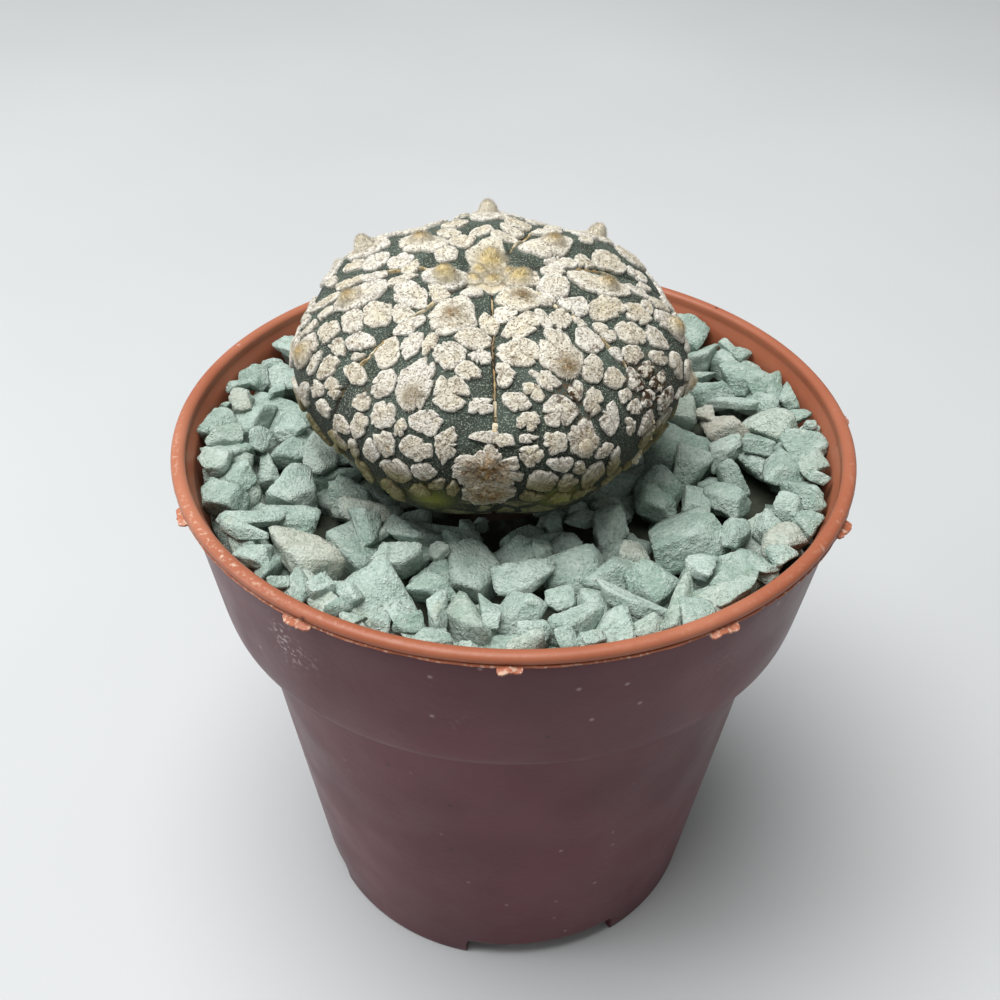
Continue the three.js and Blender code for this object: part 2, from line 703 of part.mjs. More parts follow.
// Points of bare skin between the flecks: along each furrow, and on a loose grid
function addSkin(taken, addPoint) {
  const open = (azimuth, angle, margin) => {
    const middle = stemPoint(azimuth, angle, 0, false);
    return taken.every(({ fleck, outline }) => {
      if (spacing(fleck, { middle }) > fleck.length + 1.5) {
        return true;
      }
      const here = mapPlace(fleck.azimuth, fleck.angle);
      const there = mapPlace(azimuth, angle);
      const scale = mapDistance(fleck.angle) / meridian(fleck.angle)[0];
      const [east, down] = mapTurned(there[0] - here[0], there[1] - here[1], fleck.azimuth);
      const turn = (Math.atan2(east, down) / (2 * Math.PI) + 1) % 1;
      const place = turn * outline.length;
      const [low, high] = [outline[Math.floor(place) % outline.length], outline[Math.ceil(place) % outline.length]];
      const edge = Math.max(Math.hypot(...low), Math.hypot(...high));
      return Math.hypot(east, down) / scale > edge + fleckFoot + margin;
    });
  };
  addPoint(0, 0, 0, false);
  for (let rib = 0; rib < ribCount; rib++) {
    const azimuth = frontFurrow + (rib * 360) / ribCount;
    for (let angle = 10; angle < lowestFleck; angle += 5) {
      if (open(azimuth, angle, 0.12)) {
        addPoint(azimuth, angle, 0, true);
      }
    }
  }
  for (let angle = 12; angle < lowestFleck; angle += 8) {
    const count = Math.round(meridian(angle)[0] * 2.6);
    for (let i = 0; i < count; i++) {
      const azimuth = frontFurrow + ((i + 0.5) / count) * 360;
      if (open(azimuth, angle, 0.4)) {
        addPoint(azimuth, angle, 0, true);
      }
    }
  }
}

// The soil and the gravel bed

// The plain hole that the root stands in, a little wider than the root itself
function rootHole() {
  const profile = [[0, 6 - bellyHeight]];
  for (let share = 0; share <= 1.001; share += 0.2) {
    const [radius, height] = meridian(neckAngle + rootSpan * share);
    if (share === 0) {
      profile.unshift([radius + clearance + 0.6, height + 6]);
    }
    profile.push([radius + clearance, height]);
  }
  const bottom = bellyHeight * Math.cos(neckAngle * degree) - rootLength - 0.4 - clearance;
  const outline = [
    [0, bottom],
    [rootTipRadius + clearance, bottom],
    ...profile.slice(2).reverse(),
    profile[0],
    [0, profile[0][1]],
  ];
  const hole = turned(outline, 14);
  hole.rotateX(stemLean);
  hole.translate(stemX, 0, stemZ);
  return toSolid(hole);
}

function makeSoil() {
  const bottom = recessDepth + wall + clearance;
  const step = collarBottom + wall;
  const profile = [
    [0, bottom],
    [innerRadius(bottom) - 1 - clearance, bottom],
    [innerRadius(bottom + 1.2) - clearance, bottom + 1.2],
    [innerRadius(step - 0.2) - clearance, step - 0.2],
    [innerRadius(step - 0.2) - clearance, step + 0.7],
    [innerRadius(soilTop) - clearance - 0.1, step + 1.2],
    [innerRadius(soilTop) - clearance, soilTop],
    [0, soilTop],
  ];
  profile[5][0] = innerRadius(step + 1.2) - clearance;
  const soil = toSolid(turned(profile, 28)).subtract(rootHole());
  return toGeometry(largestBody(soil));
}

// The chips of the top dressing

const chipSeed = 7331;
const chipSwell = 1.01;
const chipSink = 0.5;
const cell = 0.4;
const gridHalf = 68;
const gridWidth = 2 * gridHalf + 1;
const chipShown = 4;
const chipHidden = 8.5;
const cornerGap = 0.8;
const chipSkirt = -0.3;

// Rounds of chips, as number and size
const chipRounds = [
  [260, 1.45],
  [330, 1.2],
  [380, 0.95],
  [200, 0.68],
];
const chipTries = 16;

// Six sides, and the edges and corners that may be knocked off, as directions before they are jittered
const chipSides = [[1, 0, 0], [-1, 0, 0], [0, 1, 0], [0, -1, 0], [0, 0, 1], [0, 0, -1]];
const chipEdges = [[0.6, 0.6, 0.5], [-0.6, 0.6, 0.5], [0.6, -0.6, 0.5], [-0.6, -0.6, 0.5]];
const chipCuts = [[0.8, 0.6, -0.1], [-0.8, 0.6, 0.1], [0.6, -0.8, 0], [-0.6, -0.8, 0.1]];

// The flat sides of one chip as normals with distances, turned to the way it lies
function chipPlanes(random, scale) {
  const length = scale * (1.5 + random() * random() * 2.1);
  const width = length * (0.6 + random() * 0.35);
  const height = length * (0.38 + random() * 0.28);
  const sliver = random() < 0.08;
  const half = sliver ? [length * 1.45, width * 0.55, height * 0.5] : [length, width, height];
  const turn = random() * 6.2832;
  const steep = random() < 0.16 ? 1.1 : 0.45;
  const tiltX = (random() - 0.5) * 2 * steep;
  const tiltY = (random() - 0.5) * 2 * steep;
  const planes = [];
  const knocked = [chipEdges[Math.floor(random() * 4)], chipCuts[Math.floor(random() * 4)]];
  for (const [index, side] of [...chipSides, ...knocked].entries()) {
    const x = (side[0] + (random() - 0.5) * 0.62) / half[0];
    const y = (side[1] + (random() - 0.5) * 0.62) / half[1];
    const z = (side[2] + (random() - 0.5) * 0.62) / half[2];
    const away = index < 6 ? 0.72 + random() * 0.22 : 0.56 + random() * 0.24;
    const size = Math.sqrt(x * x + y * y + z * z);
    const plain = Math.sqrt(side[0] * side[0] + side[1] * side[1] + side[2] * side[2]);
    planes.push({ normal: tilted([x / size, y / size, z / size], turn, tiltX, tiltY), away: (away * plain) / size });
  }
  return planes;
}

function tilted([x, y, z], turn, tiltX, tiltY) {
  const y1 = y * Math.cos(tiltX) - z * Math.sin(tiltX);
  const z1 = y * Math.sin(tiltX) + z * Math.cos(tiltX);
  const x2 = x * Math.cos(tiltY) + z1 * Math.sin(tiltY);
  const z2 = z1 * Math.cos(tiltY) - x * Math.sin(tiltY);
  return [x2 * Math.cos(turn) - y1 * Math.sin(turn), x2 * Math.sin(turn) + y1 * Math.cos(turn), z2];
}

// The corners where three sides of a chip meet
function chipCorners(planes) {
  const corners = [];
  for (let i = 0; i < planes.length; i++) {
    for (let j = i + 1; j < planes.length; j++) {
      for (let k = j + 1; k < planes.length; k++) {
        const [a, b, c] = [planes[i].normal, planes[j].normal, planes[k].normal];
        const bc = cross(b, c);
        const whole = a[0] * bc[0] + a[1] * bc[1] + a[2] * bc[2];
        if (Math.abs(whole) < 0.02) {
          continue;
        }
        const ca = cross(c, a);
        const ab = cross(a, b);
        const point = [0, 1, 2].map(
          (n) => (planes[i].away * bc[n] + planes[j].away * ca[n] + planes[k].away * ab[n]) / whole,
        );
        const inside = planes.every(
          ({ normal, away }) => normal[0] * point[0] + normal[1] * point[1] + normal[2] * point[2] < away + 1e-6,
        );
        if (inside) {
          corners.push(point);
        }
      }
    }
  }
  return corners;
}

function cross(a, b) {
  return [a[1] * b[2] - a[2] * b[1], a[2] * b[0] - a[0] * b[2], a[0] * b[1] - a[1] * b[0]];
}

// The cells that a chip covers, each with its lowest and highest height there
function footprint(planes, corners) {
  const cells = [];
  const [wide, deep] = [0, 1].map((n) => Math.ceil(Math.max(...corners.map((corner) => Math.abs(corner[n]))) / cell));
  for (let i = -wide; i <= wide; i++) {
    for (let j = -deep; j <= deep; j++) {
      let low = -1e9;
      let high = 1e9;
      for (const { normal, away } of planes) {
        const rest = away - normal[0] * i * cell - normal[1] * j * cell;
        if (normal[2] > 0) {
          high = Math.min(high, rest / normal[2]);
        } else {
          low = Math.max(low, rest / normal[2]);
        }
      }
      if (low < high) {
        cells.push([i, j, low, high]);
      }
    }
  }
  return cells;
}

// How low the stem's underside hangs over a point of the plane
function underside(x, y) {
  const [dx, dy] = [x - stemX, y];
  const distance = Math.hypot(dx, dy);
  if (distance >= stemRadius + 0.2) {
    return 1e9;
  }
  if (distance < neckRadius + 1.4) {
    return -1e9;
  }
  const share = Math.min(distance / (stemRadius + 0.2), 1);
  const drop = bellyHeight * Math.sqrt(1 - Math.pow(share, 2 / bellyFullness));
  return stemZ - drop + dy * Math.sin(stemLean) - clearance - fleckHeight - 0.25;
}

// Drops chips one by one on the heap and returns those that found room. Every other try starts at the wall and
// moves in until the chip fits.
function dropChips() {
  const random = makeRandom(chipSeed);
  const heap = new Float64Array(gridWidth ** 2).fill(heapFloor);
  const owner = new Int32Array(gridWidth ** 2).fill(-1);
  const chips = [];
  for (const [count, scale] of chipRounds) {
    for (let i = 0; i < count; i++) {
      const planes = chipPlanes(random, scale);
      const corners = chipCorners(planes);
      const cells = footprint(planes, corners);
      const ground = heapFloor - Math.min(...corners.map((corner) => corner[2]));
      let best = null;
      for (let j = 0; j < chipTries; j++) {
        const azimuth = random() * 6.2832;
        const hugging = j % 2 === 1;
        let radius = hugging ? 25 : 24 * Math.sqrt(random());
        for (let steps = hugging ? 12 : 1; steps > 0; steps--) {
          const column = Math.round((radius * Math.cos(azimuth)) / cell);
          const row = Math.round((radius * Math.sin(azimuth)) / cell);
          const rest = restHeight(cells, column, row, heap, chipSink * scale, ground);
          if (rest !== null && fits(corners, column * cell, row * cell, rest)) {
            const depth = rest - heapLevel(column * cell, row * cell);
            if (!best || depth < best.depth) {
              best = { depth, column, row, rest };
            }
            steps = 0;
          }
          radius -= cell;
        }
      }
      if (best) {
        chips.push({ corners, at: [best.column * cell, best.row * cell, best.rest], shown: 0 });
        pile(cells, best, heap, owner, chips.length - 1);
      }
    }
  }
  for (const index of owner) {
    if (index >= 0) {
      chips[index].shown += cell * cell;
    }
  }
  return chips;
}

// The height that the middles of the top chips reach: more at the wall, a little less at the back right
function heapLevel(x, y) {
  const outward = Math.hypot(x, y) / 23;
  const away = ((Math.atan2(y, x) / degree - dipAzimuth + 540) % 360) - 180;
  const dip = dipDepth * outward ** 2 * Math.exp(-((away / dipSpread) ** 2));
  return heapMiddle + wallLift * outward ** 4 - dip;
}

// The height of a chip's middle when it has settled a little into the heap, or null if the wall or the stem is in
// its way
function restHeight(cells, column, row, heap, sink, ground) {
  let rest = -1e9;
  let ceiling = 1e9;
  for (const [i, j, low, high] of cells) {
    const [c, r] = [column + i, row + j];
    if (Math.abs(c) > gridHalf || Math.abs(r) > gridHalf) {
      return null;
    }
    rest = Math.max(rest, heap[(r + gridHalf) * gridWidth + c + gridHalf] - low);
    ceiling = Math.min(ceiling, underside(c * cell, r * cell) - high);
  }
  rest = Math.max(rest - sink, ground);
  return rest < ceiling ? rest : null;
}

// Whether a chip stays inside the wall, clear of the stem and under the level of the bed
function fits(corners, x, y, z) {
  let top = -1e9;
  for (const corner of corners) {
    const height = z + corner[2];
    const radius = Math.hypot(x + corner[0], y + corner[1]);
    if (radius > innerRadius(Math.min(height, potHeight - lipHeight)) - clearance - 0.1) {
      return false;
    }
    top = Math.max(top, height);
  }
  const level = heapLevel(x, y);
  return z < level && top < Math.min(level + 1.6, heapPeak);
}

function pile(cells, { column, row, rest }, heap, owner, index) {
  for (const [i, j, low, high] of cells) {
    const place = (row + j + gridHalf) * gridWidth + column + i + gridHalf;
    if (rest + high > heap[place]) {
      heap[place] = rest + high;
      owner[place] = index;
    }
  }
}

// Corners closer than cornerGap count as one, and those below the skirt give
// way to the point that ties the chip to the bed
function plainCorners(corners) {
  const kept = [];
  for (const corner of corners) {
    const middle = new THREE.Vector3(...corner);
    if (corner[2] > chipSkirt && kept.every((other) => other.distanceTo(middle) >= cornerGap)) {
      kept.push(middle);
    }
  }
  return kept;
}

function makeGravel() {
  const bed = [
    [0, gravelBottom],
    [innerRadius(gravelBottom) - clearance, gravelBottom],
    [innerRadius(bedTop) - clearance, bedTop],
    [0, bedTop],
  ];
  const chips = dropChips().filter(
    ({ shown, at }) => shown > chipShown && Math.hypot(at[0] - stemX, at[1] - 1) > chipHidden,
  );
  let gravel = toSolid(turned(bed, 32));

  // Each chip reaches down to the bed in a point under its middle
  const solids = chips.map(({ corners, at }) => {
    const points = plainCorners(corners);
    points.forEach((point) => point.multiplyScalar(chipSwell).add(new THREE.Vector3(...at)));
    points.push(new THREE.Vector3(at[0], at[1], bedTop - 0.4));
    return toSolid(new ConvexGeometry(points));
  });
  gravel = wasm.Manifold.union([gravel, ...solids]).subtract(rootHole());
  return toGeometry(largestBody(gravel));
}

// The scene graph

function part(name, geometry, color, roughness) {
  const material = new THREE.MeshStandardMaterial({ color, roughness, metalness: 0 });
  const mesh = new THREE.Mesh(geometry, material);
  mesh.name = name;
  return mesh;
}

const pottedCactus = new THREE.Group();
pottedCactus.add(part("pot", makePot(), 0x8a4f45, 0.45));
pottedCactus.add(part("soil", makeSoil(), 0x3a332c, 0.95));
pottedCactus.add(part("gravel", makeGravel(), 0xa9c2b1, 0.9));

const stem = new THREE.Group();
stem.position.set(stemX, 0, stemZ);
stem.rotation.x = stemLean;
stem.add(part("cactus", makeCactus(), 0xc9bfa5, 0.85));
pottedCactus.add(stem);

export default pottedCactus;
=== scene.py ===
import bpy
import math
import numpy as np
from mathutils import Matrix, Vector
from mathutils.geometry import delaunay_2d_cdt


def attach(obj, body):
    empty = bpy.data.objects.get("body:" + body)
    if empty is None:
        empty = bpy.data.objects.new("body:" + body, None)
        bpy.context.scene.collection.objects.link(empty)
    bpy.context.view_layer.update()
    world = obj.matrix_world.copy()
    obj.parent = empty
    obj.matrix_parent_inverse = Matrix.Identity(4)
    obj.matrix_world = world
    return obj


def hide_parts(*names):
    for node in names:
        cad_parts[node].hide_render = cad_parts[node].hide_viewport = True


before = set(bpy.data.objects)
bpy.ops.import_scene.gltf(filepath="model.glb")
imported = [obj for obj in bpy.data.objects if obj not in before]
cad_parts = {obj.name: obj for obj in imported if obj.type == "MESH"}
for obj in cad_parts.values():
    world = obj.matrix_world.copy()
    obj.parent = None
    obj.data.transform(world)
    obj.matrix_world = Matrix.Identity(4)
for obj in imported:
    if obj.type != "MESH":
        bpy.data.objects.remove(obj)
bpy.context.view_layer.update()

# Potted star cactus. Shapes are worked out in millimetres and turned into metres when a mesh is made.
degree = math.pi / 180
fullTurn = 6.2832  # for the random draws
endless = 1e9  # stands for no limit
print("frame loaded")


# Numbers and meshes

def makeRandom(seed):
    state = [seed]

    def draw():
        state[0] = state[0] * 48271 % 2147483647
        return state[0] / 2147483647
    return draw


def hashed(x, y, z, seed):
    bits = ((x * 73856093) ^ (y * 19349663) ^ (z * 83492791) ^ (seed * 26544357)) & 0xffffffff
    bits = ((bits ^ (bits >> 13)) * 1274126177) & 0xffffffff
    bits = bits ^ (bits >> 16)
    return (bits & 0xffff) / 32767.5 - 1


# Smooth noise between -1 and 1 on a lattice with cells of the given size
def bumpNoise(points, size, seed):
    scaled = np.asarray(points) / size
    base = np.floor(scaled).astype(np.int64)
    part = scaled - base
    part = part * part * (3 - 2 * part)
    total = np.zeros(len(scaled))
    for corner in range(8):
        step = (corner & 1, corner >> 1 & 1, corner >> 2)
        weight = np.ones(len(scaled))
        for axis in range(3):
            weight = weight * (part[:, axis] if step[axis] else 1 - part[:, axis])
        total += weight * hashed(base[:, 0] + step[0], base[:, 1] + step[1], base[:, 2] + step[2], seed)
    return total


# Layers of noise, each as strength, size and seed
def layered(points, *layers):
    return sum(strength * bumpNoise(points, size, seed) for strength, size, seed in layers)


# Noise round a closed line, at places counted from 0 to 1
def ringNoise(places, waves, seed):
    angle = np.asarray(places) * 2 * math.pi
    radius = waves / 6.28
    flat = np.stack([np.cos(angle) * radius, np.sin(angle) * radius, np.zeros(len(angle))], 1)
    return bumpNoise(flat, 1, seed)


def unit(vectors, spare=0.0):
    return vectors / (np.linalg.norm(vectors, axis=-1, keepdims=True) + spare)


def makePiece(name, points, faces, material, values=None, sharp=None):
    mesh = bpy.data.meshes.new(name)
    mesh.from_pydata((np.asarray(points) / 1000).tolist(), [], faces)
    mesh.validate()
    mesh.shade_smooth()
    if sharp:
        mesh.set_sharp_from_angle(angle=sharp * degree)
    for key, numbers in (values or {}).items():
        layer = mesh.attributes.new(key, "FLOAT", "POINT")
        layer.data.foreach_set("value", np.asarray(numbers, np.float32))
    mesh.materials.append(material)
    piece = bpy.data.objects.new(name, mesh)
    bpy.context.collection.objects.link(piece)
    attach(piece, "root")
    return piece


# Collects many small meshes into one
def newBatch(keys):
    return {"points": [], "faces": [], "count": 0, "values": {key: [] for key in keys}}


def addTo(batch, points, faces, **values):
    start = batch["count"]
    rows = faces.tolist() if isinstance(faces, np.ndarray) else faces
    batch["points"].append(points)
    batch["faces"].extend([[corner + start for corner in row] for row in rows])
    batch["count"] += len(points)
    for key, numbers in values.items():
        batch["values"][key].append(np.broadcast_to(numbers, len(points)))


def batchPiece(name, batch, material, sharp=None):
    values = {key: np.concatenate(parts) for key, parts in batch["values"].items()}
    return makePiece(name, np.concatenate(batch["points"]), batch["faces"], material, values, sharp)


# Quads between the rows of a grid whose rows close on themselves
def ringFaces(rows, columns):
    row = np.arange(rows - 1)[:, None] * columns
    column = np.arange(columns)[None, :]
    right = (column + 1) % columns
    corners = [row + column, row + right, row + columns + right, row + columns + column]
    return np.stack(corners, 2).reshape(-1, 4)


# A dome: the same quads turned outward, and triangles that close the last row round one point
def domeFaces(rows, columns):
    last = rows * columns
    tip = [[last, last - columns + (i + 1) % columns, last - columns + i] for i in range(columns)]
    return ringFaces(rows, columns)[:, ::-1].tolist() + tip


# Shader parts

def fill(tree, node, values):
    for key, value in values.items():
        if isinstance(value, bpy.types.NodeSocket):
            tree.links.new(value, node.inputs[key])
        else:
            node.inputs[key].default_value = value
    return node


def addNode(tree, kind, values=None, **settings):
    node = tree.nodes.new(kind)
    for key, value in settings.items():
        setattr(node, key, value)
    return fill(tree, node, values or {})


def srgb(red, green, blue):
    parts = [value / 255 for value in (red, green, blue)]
    return [part / 12.92 if part < 0.04045 else ((part + 0.055) / 1.055) ** 2.4 for part in parts] + [1]


def mathNode(tree, operation, first, second):
    return addNode(tree, "ShaderNodeMath", {0: first, 1: second}, operation=operation).outputs["Value"]


def ranged(tree, value, low, high):
    values = {"Value": value, "From Min": low, "From Max": high}
    return addNode(tree, "ShaderNodeMapRange", values, interpolation_type="SMOOTHSTEP").outputs["Result"]


# A node group that takes a place and some numbers, and gives some numbers
def startGroup(name, numbers, results):
    tree = bpy.data.node_groups.new(name, "ShaderNodeTree")
    tree.interface.new_socket("Vector", in_out="INPUT", socket_type="NodeSocketVector")
    for key, value in numbers.items():
        tree.interface.new_socket(key, in_out="INPUT", socket_type="NodeSocketFloat").default_value = value
    for key in results:
        tree.interface.new_socket(key, in_out="OUTPUT", socket_type="NodeSocketFloat")
    return tree, tree.nodes.new("NodeGroupInput").outputs, tree.nodes.new("NodeGroupOutput").inputs


# Soft-edged patches: noise stretched between two levels
def makeBlotches():
    numbers = {"Scale": 500.0, "Detail": 3.0, "From": 0.4, "To": 0.6}
    tree, given, out = startGroup("blotches", numbers, ["Mask"])
    noise = addNode(tree, "ShaderNodeTexNoise", {key: given[key] for key in ("Vector", "Scale", "Detail")})
    tree.links.new(ranged(tree, noise.outputs["Fac"], given["From"], given["To"]), out["Mask"])
    return tree


# Round dots, one in each cell, of which only a share is kept
def makeSpecks():
    tree, given, out = startGroup("specks", {"Scale": 500.0, "Size": 0.3, "Share": 0.5}, ["Mask"])
    cells = addNode(tree, "ShaderNodeTexVoronoi", {"Vector": given["Vector"], "Scale": given["Scale"]})
    dot = ranged(tree, cells.outputs["Distance"], given["Size"], 0.0)
    draw = addNode(tree, "ShaderNodeSeparateColor", {"Color": cells.outputs["Color"]})
    kept = mathNode(tree, "LESS_THAN", draw.outputs["Red"], given["Share"])
    tree.links.new(mathNode(tree, "MULTIPLY", dot, kept), out["Mask"])
    return tree


# A crumbly height: coarse lumps with fine grains on them
def makeGrain():
    tree, given, out = startGroup("grain", {"Scale": 2500.0, "Coarse": 0.5}, ["Height", "Pits"])
    fine = addNode(tree, "ShaderNodeTexNoise",
                   {"Vector": given["Vector"], "Scale": given["Scale"], "Detail": 4.0, "Roughness": 0.65})
    wide = mathNode(tree, "MULTIPLY", given["Scale"], 0.3)
    coarse = addNode(tree, "ShaderNodeTexNoise", {"Vector": given["Vector"], "Scale": wide, "Detail": 3.0})
    values = {0: given["Coarse"], 2: fine.outputs["Fac"], 3: coarse.outputs["Fac"]}
    both = addNode(tree, "ShaderNodeMix", values, data_type="FLOAT").outputs[0]
    tree.links.new(both, out["Height"])
    tree.links.new(ranged(tree, both, 0.5, 0.36), out["Pits"])
    return tree


blotches = makeBlotches()
specks = makeSpecks()
grain = makeGrain()


# A material that is painted coat by coat: each coat covers what is there by a mask
class Paint:
    def __init__(self, name):
        self.material = bpy.data.materials.new(name)
        self.material.use_nodes = True
        self.tree = self.material.node_tree
        self.shader = self.tree.nodes["Principled BSDF"]
        self.place = addNode(self.tree, "ShaderNodeTexCoord").outputs["Object"]
        self.colour = None

    def read(self, name):
        return addNode(self.tree, "ShaderNodeAttribute", attribute_name=name).outputs["Fac"]

    def readAll(self, *names):
        return [self.read(name) for name in names]

    def group(self, group, **numbers):
        values = {"Vector": self.place, **numbers}
        return addNode(self.tree, "ShaderNodeGroup", values, node_tree=group).outputs

    def patches(self, scale, detail, low, high):
        return self.group(blotches, Scale=scale, Detail=detail, From=low, To=high)["Mask"]

    def dots(self, scale, size, share):
        return self.group(specks, Scale=scale, Size=size, Share=share)["Mask"]

    def crumbs(self, scale, coarse):
        found = self.group(grain, Scale=scale, Coarse=coarse)
        return found["Height"], found["Pits"]

    def times(self, first, second):
        return mathNode(self.tree, "MULTIPLY", first, second)

    def plus(self, first, second):
        return mathNode(self.tree, "ADD", first, second)

    def minus(self, first, second):
        return mathNode(self.tree, "SUBTRACT", first, second)

    def stretch(self, value, low, high):
        return ranged(self.tree, value, low, high)

    # A blend of two colours, each a socket or its red, green and blue
    def blend(self, share, first, second):
        values = {0: share, 6: first, 7: second}
        values = {key: srgb(*value) if isinstance(value, tuple) else value for key, value in values.items()}
        return addNode(self.tree, "ShaderNodeMix", values, data_type="RGBA", blend_type="MIX").outputs[2]

    def coat(self, mask, colour, strength=None):
        mask = mask if strength is None else self.times(mask, strength)
        self.colour = self.blend(mask, self.colour, colour)

    def finished(self, roughness, height=None, depth=0.0, shine=0.5, sheen=0.0):
        values = {"Base Color": self.colour, "Roughness": roughness, "Specular IOR Level": shine,
                  "Sheen Weight": sheen}
        if height:
            relief = {"Height": height, "Distance": depth, "Strength": 1.0}
            values["Normal"] = addNode(self.tree, "ShaderNodeBump", relief).outputs["Normal"]
        fill(self.tree, self.shader, values)
        return self.material


# The pot

pot = {
    "rimRadius": 27.5, "height": 48.5, "lipHeight": 1.3, "bead": 1.15, "beadHeight": 0.92, "wall": 0.9,
    "collarRadius": 25.03, "collarBottom": 34.96, "bodyRadius": 22.95, "footRadius": 18.37,
    "recess": 2.6, "notchHeight": 2.3, "notchSpan": 44, "notchMiddle": 281,
    "drainRadius": 2.3, "drainCircle": 12.4, "columns": 288,
    "tabs": 11, "tabStart": 206.5, "tabStep": 31.5, "tabLength": 2.3, "tabHeight": 47.62,
}


def innerRadius(height):
    step = pot["collarBottom"] + pot["wall"]
    share = (height - pot["collarBottom"]) / (pot["height"] - pot["collarBottom"])
    collar = pot["collarRadius"] + (pot["rimRadius"] - 0.5 - pot["collarRadius"]) * share - pot["wall"]
    share = height / pot["collarBottom"]
    body = pot["footRadius"] + (pot["bodyRadius"] - pot["footRadius"]) * share - pot["wall"]
    return np.where(height > step, collar, body)


def makePlastic():
    paint = Paint("potPlastic")
    wine, lime, scuff = paint.readAll("wine", "lime", "scuff")
    patch = paint.patches(60.0, 4.0, 0.35, 0.68)
    dark = paint.blend(patch, (80, 36, 44), (94, 46, 54))
    warm = paint.blend(patch, (146, 84, 60), (166, 106, 82))
    paint.colour = paint.blend(wine, warm, dark)

    # Dust and lime: pale dots, pale streaks of lime and of painted sheen where the lime value is high, and
    # dark specks of soil
    paint.coat(paint.dots(900.0, 0.26, 0.05), (206, 186, 178), 0.35)
    limeAndSheen = paint.times(paint.patches(2600.0, 5.0, 0.5, 0.62), lime)
    paint.coat(limeAndSheen, (225, 212, 192))
    paint.coat(paint.patches(2300.0, 5.0, 0.52, 0.66), (188, 170, 172), scuff)
    paint.coat(paint.dots(420.0, 0.14, 0.1), (42, 26, 26), 0.8)

    # Satin sheen, duller in patches and on the pale lime and painted sheen streaks, over a faint orange-peel
    # surface
    haze = paint.plus(paint.times(paint.patches(180.0, 4.0, 0.3, 0.7), 0.1), 0.34)
    peel, _ = paint.crumbs(1400.0, 0.5)
    roughness = paint.plus(haze, paint.times(limeAndSheen, 0.4))
    return paint.finished(roughness, paint.plus(peel, paint.times(limeAndSheen, 0.8)), 0.00004, shine=0.27)


# The wall's section from the floor's underside round the outside and down the inside, each as radius, height
# and wine share
def potSection():
    def inner(height):
        return float(innerRadius(height))

    foot, wall, floor = pot["footRadius"], pot["wall"], pot["recess"]
    bottom, collar = pot["collarBottom"], pot["collarRadius"]
    rim, top, lipFoot = pot["rimRadius"], pot["height"], pot["height"] - pot["beadHeight"]
    slope = (pot["bodyRadius"] - foot) / bottom

    # The foot and the body
    rows = [(inner(floor) - inward, floor - down, 0.4) for inward, down in ((0.4, 0), (0.1, 0.06), (0, 0.25))]
    rows += [(foot - wall + slope * z, z, 0.5) for z in (1.9, 1.2, 0.6, 0.2)]
    rows += [(foot - wall + 0.12, 0.03, 0.7), (foot - wall + 0.3, 0, 1)]
    rows += [(foot - 0.25, 0, 1), (foot - 0.06, 0.05, 1)]
    rows += [(foot + slope * z, z, 1)
             for z in (0.25, 0.7, 1.2, 1.8, 2.35, 2.7, 3.5, 5, 8, 12, 16, 20, 24, 28, 31, 33, 34, 34.5)]

    # The step and the collar
    step = ((0.03, -0.22), (0.16, -0.06), (0.4, 0))
    rows += [(foot + slope * bottom + out, bottom + up, 1) for out, up in step]
    rows += [(collar - inward, bottom + up, 1) for inward, up in ((0.42, 0.02), (0.16, 0.1), (0.02, 0.3))]
    for z in (35.7, 36.5, 38, 40, 42, 44, 45.5, 46.4, lipFoot - 0.32):
        rows.append((inner(z) + wall if z > bottom + wall else collar + 0.08, z, 1))
    edge = inner(lipFoot) + wall
    rows += [(edge - 0.07, lipFoot - 0.2, 1), (edge - 0.05, lipFoot - 0.12, 0.75)]
    rows += [(rim - 0.42, lipFoot - 0.08, 0.2)]

    # The bead, and down the inside
    under = ((0.12, -0.05), (0.02, 0), (0.06, 0.09), (0.17, 0.14), (0.15, 0.22), (0.03, 0.32), (0, 0.4))
    rows += [(rim - inward, lipFoot + up, 0) for inward, up in under]
    bead = pot["bead"] / 2
    for i in range(1, 12):
        turn = i / 12 * math.pi
        rows.append((rim - bead + bead * math.cos(turn), top - 0.52 + 0.52 * math.sin(turn) ** 0.8, 0))
    rows += [(rim - pot["bead"] + 0.01, top - 0.75, 0), (rim - pot["bead"] - 0.05, lipFoot - 0.15, 0)]
    rows += [(inner(z), z, 0)
             for z in (47, 46.2, 45, 43.5, 42, 40, 38, 36.6, 36.2, 35.7, 35, 30, 24, 18, 12, 7, 5.2)]
    rows += [(inner(4.4) - 0.25, 4.1, 0), (inner(3.5) - 0.7, 3.62, 0), (inner(3.5) - 1, floor + wall, 0)]
    return np.array(rows)


# Column angles, with four close ones at each side of every notch
def potColumns():
    angles = [i * 360 / pot["columns"] for i in range(pot["columns"])]
    for i in range(4):
        middle = pot["notchMiddle"] + i * 90
        for side in (-1, 1):
            edge = middle + side * pot["notchSpan"] / 2
            angles = [angle for angle in angles if abs((angle - edge + 180) % 360 - 180) > 0.7]
            angles += [(edge + step) % 360 for step in (-0.55, -0.25, 0, 0.3)]
    return np.sort(np.array(angles))


# How high the foot's ring is lifted at an angle: ragged notches with rounded shoulders
def notchLift(angles):
    away = np.abs((angles - pot["notchMiddle"] + 45) % 90 - 45)
    inside = pot["notchSpan"] / 2 - away
    ragged = 0.1 * ringNoise(angles / 360, 150, 5) + 0.05 * ringNoise(angles / 360, 420, 6)
    lift = (pot["notchHeight"] - 0.1 + ragged) * np.clip(inside / 0.55 + 0.45, 0, 1) ** 0.6
    return np.where(inside > -0.3, lift, 0)


def rimPlace(angles, radius, height):
    return np.stack([np.cos(angles * degree) * radius, np.sin(angles * degree) * radius, height], 1)


